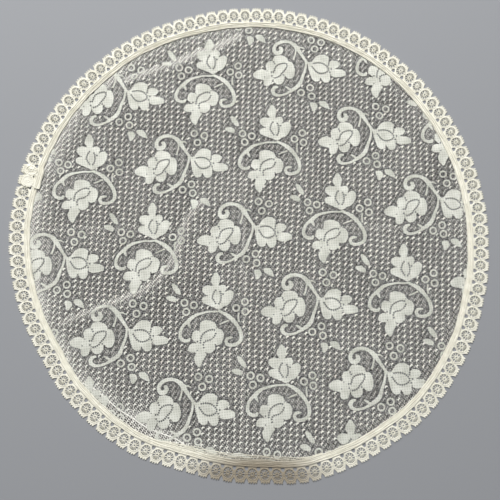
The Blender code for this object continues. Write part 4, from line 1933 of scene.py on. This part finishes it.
@dataclass
class Edging:
    """The scalloped edging, one strip lapped at its end: a ribbed heading band and a row of medallions.

    The strip is drawn flat in mm, X along it and Y outwards to the tips at 0, and then bent round the panel.

    Attributes:
        cloth: How the doily lies.
        finish: The edging's finish.
        medallions: How many stand round the doily.
        lap_medallions: How many more lie over the strip's start.
        lap_start: Where the strip starts, in radians.
        lap_inset: How far in the lapped end lies.
        lap_rise: How far the lapped end stands over the start.
        lap_climb: Over what share of a medallion it rises to that.
        heading: The heading band's width.
        middle: The medallions' centre line.
        ring: Inner and outer radius of a medallion's rim, across.
        stretch: How much longer the medallion is along its own middle line than across.
        hub: Inner and outer radius of its hub.
        windows: How many openings stand between hub and rim on its inner side.
        fan: How many slits stand side by side on its outer side.
        fan_arc: Where the fan starts and ends, in degrees.
        half_spokes: Half the width of a spoke between windows and of one in the fan.
        plate: Underside and top of the medallions' cloth.
        band_base: Underside of the heading band.
        band_cords: Its cords.
        frayed: Where loose threads of the band's inner edge spread over the panel, in radians.
        frayed_reach: How far in each of them reaches.
    """

    cloth: Cloth
    finish: TrimCord
    medallions: int = 124
    lap_medallions: int = 2
    lap_start: float = radians(163.5)
    lap_inset: float = 2.0
    lap_rise: float = 1.12
    lap_climb: float = 0.34
    heading: float = 4.5
    middle: float = -6.6
    ring: tuple[float, float] = (3.4, 4.15)
    stretch: float = 1.12
    hub: tuple[float, float] = (0.6, 1.15)
    windows: int = 7
    fan: int = 5
    fan_arc: tuple[float, float] = (35.0, 145.0)
    half_spokes: tuple[float, float] = (0.22, 0.18)
    plate: tuple[float, float] = (0.12, 0.75)
    band_base: float = 1.02
    band_cords: tuple[BandCord, ...] = (
        BandCord(0.42, 0.66, 0.7),
        BandCord(1.35, 0.58, 0.5),
        BandCord(2.3, 0.68, 0.7),
        BandCord(3.2, 0.56, 0.5),
        BandCord(4.05, 0.66, 0.65),
    )
    frayed: tuple[float, float] = (radians(247), radians(289))
    frayed_reach: tuple[float, ...] = (1.0, 1.9, 2.8, 3.7)

    @property
    def pitch(self) -> float:
        """Medallion pitch, measured along the outermost circle."""
        return tau * self.cloth.radius / self.medallions

    @property
    def count(self) -> int:
        """How many medallions the whole strip has."""
        return self.medallions + self.lap_medallions

    def bent(self, stamp: Stamp) -> Stamp:
        """Carries the flat strip round the panel: its far end rises over its start and lies in.

        Args:
            stamp: A shape of the flat strip.

        Returns:
            The shape in its place.
        """
        along = stamp.points[:, 0] / self.pitch
        share = np.clip((along - self.medallions + 0.5) / self.lap_climb, 0, 1)
        lapped = share * share * (3 - 2 * share)
        angles = self.lap_start + along * tau / self.medallions
        wobble = waves(((0.12, 2.9, 0, 0), (0.1, 1.37, 0, 1)), along)
        radii = self.cloth.radius + self.cloth.outline_drift(angles) + stamp.points[:, 1]
        radii += wobble - self.lap_inset * lapped
        rises = stamp.points[:, 2] + self.lap_rise * lapped
        return Stamp(np.column_stack([radii * np.cos(angles), radii * np.sin(angles), rises]), stamp.faces)

    def oval(self, radius: float, turn: float) -> Point:
        """A point of the medallion at this radius and turn, where a quarter turn is outwards."""
        return radius * cos(turn), self.middle + self.stretch * radius * sin(turn)

    def spoke_turns(self) -> tuple[Array, Array]:
        """Finds how each spoke of a medallion is turned.

        Returns:
            The turns of the inner side's spokes, and those of the outer side's fan.
        """
        start, end = self.fan_arc
        inner_side = np.linspace(end, start + 360, self.windows + 1)
        return np.radians(inner_side), np.radians(np.linspace(start, end, self.fan + 1))

    def sector_holes(self) -> list[Array]:
        """The openings of one medallion, round (0, middle): pin-hole, windows and the fan's slits.

        Returns:
            The closed line of each.
        """
        holes = [circle((0, self.middle), self.hub[0], 8, 0.2)]
        near, far = self.hub[1] + 0.15, self.ring[0]
        for turns, half_spoke in zip(self.spoke_turns(), self.half_spokes):
            for start, end in zip(turns, turns[1:]):
                low, high = half_spoke / near, half_spoke / far
                corners = ((near, start + low), (far, start + high), (far, end - high), (near, end - low))
                holes.append(np.array([self.oval(radius, turn) for radius, turn in corners]))
        return holes

    def sector_outline(self) -> Array:
        """The outline of one medallion with half a joint to either side, an eyelet's half and a notch's half.

        Returns:
            The closed line, from the band's side round by the right.
        """
        half = self.pitch / 2
        joint = (
            (0, self.heading - self.cloth.strip_depth - 0.4), (0, -11.75), (0.95, -11.7), (1.5, -11.1),
            (1.4, -10.3), (0.85, -9.3), (0, -8.75), (0, -7.5), (0.3, -7.25), (0, -7.0), (0, -6.1),
            (0.3, -5.85), (0, -5.6), (0, -4.15), (0.35, -3.55),
        )  # fmt: skip
        tips = (
            (3.65, -2.6), (3.3, -1.85), (3.15, -1.2), (3.05, -0.7), (2.6, -0.35), (2.15, -0.6), (2.0, -1.2),
            (1.6, -1.2), (1.4, -0.5), (0.95, -0.05), (0.5, -0.4), (0.35, -1.1),
        )  # fmt: skip
        right = [*((half - inset, y) for inset, y in joint), *tips]
        return np.array([*right, (0.0, -1.15), *((-x, y) for x, y in reversed(right))])

    def sector(self, pierced: bool = True) -> Stamp:
        """One medallion as cloth with real thickness.

        Args:
            pierced: Whether its windows are open, or filled as in the lap.

        Returns:
            The medallion, open at the two sides that join the next ones.
        """
        base, top = self.plate
        bm = pierced_plate(self.sector_outline(), self.sector_holes() if pierced else [], base)
        thicken(bm, top - base)
        half = self.pitch / 2
        # The walls at the joints go, so that welding closes them to the next medallions.
        joint = [face for face in bm.faces if all(abs(abs(v.co.x) - half) < 1e-4 for v in face.verts)]
        bmesh.ops.delete(bm, geom=joint, context="FACES_ONLY")
        bmesh.ops.recalc_face_normals(bm, faces=bm.faces)
        return Stamp.of(bm)

    def beads(self) -> list[Stamp]:
        """The small round knots of one medallion.

        Returns:
            A picot at each tip and the knot at its joint.
        """
        top = self.plate[1]
        picots = ((-2.58, -0.85), (-0.95, -0.55), (0.95, -0.55), (2.58, -0.85))
        sizes = [((x, y, top), (0.46,) * 3) for x, y in picots]
        sizes.append(((self.pitch / 2, self.middle + 0.05, top), (0.75, 0.6, 0.35)))
        made = []
        for place, size in sizes:
            bead = bmesh.new()
            shape = Matrix.Translation(place) @ Matrix.Diagonal((*size, 1))
            bmesh.ops.create_icosphere(bead, subdivisions=1, radius=1.0, matrix=shape)
            made.append(Stamp.of(bead))
        return made

    def cords(self) -> Stamp:
        """The raised cords of one medallion: rim, hub, spokes, scallop, picots and the knot at its joint.

        Returns:
            Them all as one shape.
        """
        base = self.plate[1] - 0.1
        rim_radius, hub_radius = sum(self.ring) / 2, sum(self.hub) / 2 + 0.05
        made = []
        for radius, sides, width, height in ((rim_radius, 20, 0.72, 0.26), (hub_radius, 10, 0.58, 0.22)):
            ring = np.array([self.oval(radius, tau * k / sides) for k in range(sides)])
            made.append(raised_strip(ring, width, base, height, closed=True, crown=0.14))
        round_turns, fan_turns = self.spoke_turns()
        ends = (self.hub[1] - 0.1, self.ring[0] + 0.2)
        for turns, width in ((round_turns, 0.52), (fan_turns[1:-1], 0.44)):
            for turn in turns:
                line = np.array([self.oval(radius, turn) for radius in ends])
                made.append(raised_strip(line, width, base, 0.12, crown=0.1))
        right = ((0.95, -1.3), (2.6, -1.5), (3.1, -2.0), (3.7, -3.1))
        scallop = smooth_loop([*((-x, y) for x, y in reversed(right)), *right], 2, closed=False)
        made.append(raised_strip(scallop, 0.5, base, 0.16, crown=0.1))
        return Stamp.joined([*made, *self.beads()])

    def band(self) -> Stamp:
        """The heading band: low cords side by side on a flat backing, none of them quite straight.

        Returns:
            The band of the whole strip.
        """
        low, inner = self.band_base, -self.cloth.strip_depth
        x = np.linspace(-self.pitch / 2, (self.count - 0.5) * self.pitch, self.count * 4 + 1)
        made = []
        for k, cord in enumerate(self.band_cords):
            bends = ((0.2, 1 / 9.3, 0, 2.1 * k), (0.14, 1 / 3.1, 0, 1.7 * k), (0.05, 1 / 1.3, 0, k))
            line = np.column_stack([x, inner + cord.middle + waves(bends, x)])
            widths = cord.width * (1 + 0.12 * np.sin(x / 4.1 + 3 * k))
            made.append(raised_strip(line, widths, low, cord.height * 0.7, crown=cord.height * 0.3))
        start, end = ((angle - self.lap_start) * self.medallions / tau * self.pitch for angle in self.frayed)
        worn = x[(x > start) & (x < end)]
        hump = np.sin((worn - start) / (end - start) * pi)
        for k, reach in enumerate(self.frayed_reach):
            bends = ((0.22, 1 / 5.3, 0, 1.9 * k), (0.16, 1 / 1.9, 0, 2.3 * k))
            line = np.column_stack([worn, inner + 0.3 - reach * hump**0.7 + waves(bends, worn)])
            widths = 0.5 + 0.12 * np.sin(worn / 2.7 + 2 * k)
            made.append(raised_strip(line, widths, low - 0.05, 0.3, crown=0.15))
        backing = np.column_stack([x, np.full(len(x), inner + 2.25)])
        made.append(raised_strip(backing, 4.4, low, 0.12, crown=0.02))
        return Stamp.joined(made)

    def ledge(self) -> Stamp:
        """The cloth that steps down from the band to the medallions.

        Returns:
            One medallion's stretch of it.
        """
        half = self.pitch / 2
        y = self.heading - self.cloth.strip_depth
        top, foot = self.band_base + 0.35, self.plate[1] - 0.03
        profile = ((y - 0.7, top), (y - 0.05, top - 0.05), (y + 0.2, (top + foot) / 2 + 0.1), (y + 0.4, foot))
        rows = [[(x, across, z) for x in (-half, 0.0, half)] for across, z in profile]
        return Stamp.of(bridged(rows))

    def build(self) -> list[bpy.types.Object]:
        """Builds the edging's pieces.

        Returns:
            The medallions' cloth, their cords and the heading band.
        """
        material = self.finish.material()
        places = np.column_stack([np.arange(self.count) * self.pitch, np.zeros(self.count)])
        open_ones, lapped_ones = places[: self.medallions], places[self.medallions :]
        medallions = [
            self.sector().set_down(open_ones),
            self.sector(pierced=False).set_down(lapped_ones),
            self.ledge().set_down(places),
        ]
        flats = {
            "edging_medallions": Stamp.joined(medallions).welded(),
            "edging_cords": self.cords().set_down(places),
            "edging_heading": self.band(),
        }
        pieces = []
        for name, flat in flats.items():
            pieces.append(make_piece(name, self.bent(flat), flat.points, material, 50))
        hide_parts("lace_edging")
        return pieces


# Studio


@dataclass(frozen=True)
class Lamp:
    """A square soft light: its name, its place and size in metres, and its power in watts."""

    name: str
    place: tuple[float, float, float]
    size: float
    power: float


@dataclass
class Studio:
    """A plain floor, soft light and the camera.

    Attributes:
        floor_finish: The floor's finish.
        floor_size: Half its width, in metres.
        target: Where the camera looks, in mm.
        distance: How far away it stands, in mm.
        tilt: Its angle from straight down, in degrees.
        lens: Its focal length in mm.
        sensor: The width of its sensor in mm.
        nearest: How near it sees, in metres.
        lamps: A large soft light behind the far rim and a weaker one overhead.
        lamp_colour: Their red, green and blue.
        room_colour: The colour of the room's even light.
        room_strength: How strong that is.
    """

    floor_finish: PaintedFloor
    floor_size: float = 6.0
    target: Point = (1.01, -11.90)
    distance: float = 430.0
    tilt: float = 6.82
    lens: float = 41.47
    sensor: float = 36.0
    nearest: float = 0.01
    lamps: tuple[Lamp, ...] = (
        Lamp("key", (-0.27, 1.08, 1.27), 0.8, 35.5),
        Lamp("overhead", (0.1, -0.1, 1.6), 1.6, 3.0),
    )
    lamp_colour: tuple[float, float, float] = (1.0, 0.992, 0.975)
    room_colour: str = "#E9ECF2"
    room_strength: float = 0.2

    def camera(self) -> None:
        """Sets up the camera over the doily, looking almost straight down."""
        camera = bpy.data.objects.new("camera", bpy.data.cameras.new("camera"))
        camera.data.lens = self.lens
        camera.data.sensor_width = self.sensor
        camera.data.clip_start = self.nearest
        tilt = radians(self.tilt)
        x, y = self.target
        camera.location = Vector((x, y - self.distance * sin(tilt), self.distance * cos(tilt))) * MM
        camera.rotation_euler = (tilt, 0, 0)
        bpy.context.scene.collection.objects.link(camera)
        bpy.context.scene.camera = camera

    def floor(self) -> None:
        """Makes the floor."""
        bm = bmesh.new()
        bmesh.ops.create_grid(bm, x_segments=2, y_segments=2, size=self.floor_size)
        mesh = bpy.data.meshes.new("floor")
        bm.to_mesh(mesh)
        bm.free()
        mesh.materials.append(self.floor_finish.material())
        floor = bpy.data.objects.new("floor", mesh)
        bpy.context.scene.collection.objects.link(floor)

    def lights(self) -> None:
        """Hangs the lamps, aimed at the doily, and sets the room's even light."""
        for lamp in self.lamps:
            light = bpy.data.lights.new(lamp.name, "AREA")
            light.energy = lamp.power
            light.size = lamp.size
            light.color = self.lamp_colour
            hung = bpy.data.objects.new(lamp.name, light)
            hung.location = lamp.place
            hung.rotation_euler = (-Vector(lamp.place)).to_track_quat("-Z", "Y").to_euler()
            bpy.context.scene.collection.objects.link(hung)
        world = bpy.data.worlds.new("room")
        world.use_nodes = True
        background = world.node_tree.nodes["Background"]
        background.inputs["Color"].default_value = linear(self.room_colour)
        background.inputs["Strength"].default_value = self.room_strength
        bpy.context.scene.world = world

    def build(self) -> None:
        """Sets up the whole studio."""
        self.camera()
        self.floor()
        self.lights()
        bpy.context.scene.view_settings.view_transform = "Standard"


def main() -> None:
    """Builds the doily round its CAD frame."""
    logging.basicConfig(level=logging.INFO, format="%(name)s: %(message)s")
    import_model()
    Studio(PaintedFloor()).build()
    cloth = Cloth()
    fields = {spray: SprayField(spray.value) for spray in Spray}
    spun = WovenCotton(name="cotton_clothwork_ivory", thread="#E4E5DC", shade="#B3B4A9")
    spots = WovenCotton(
        name="cotton_spots_ivory",
        thread="#F6F5EE",
        shade="#E6E5DC",
        pattern=replace(spun.pattern, cloud_mm=30.0),
        surface=replace(spun.surface, relief=0.2),
    )
    net, spot_piece = LaceGround(cloth, fields, spots).build()
    work = ClothWork(cloth, spun).build()
    work += Hem(cloth, net.data.materials[0], spot_piece.data.materials[0]).build()
    Edging(cloth, TrimCord()).build()
    bpy.context.view_layer.update()


if __name__ == "__main__":
    main()
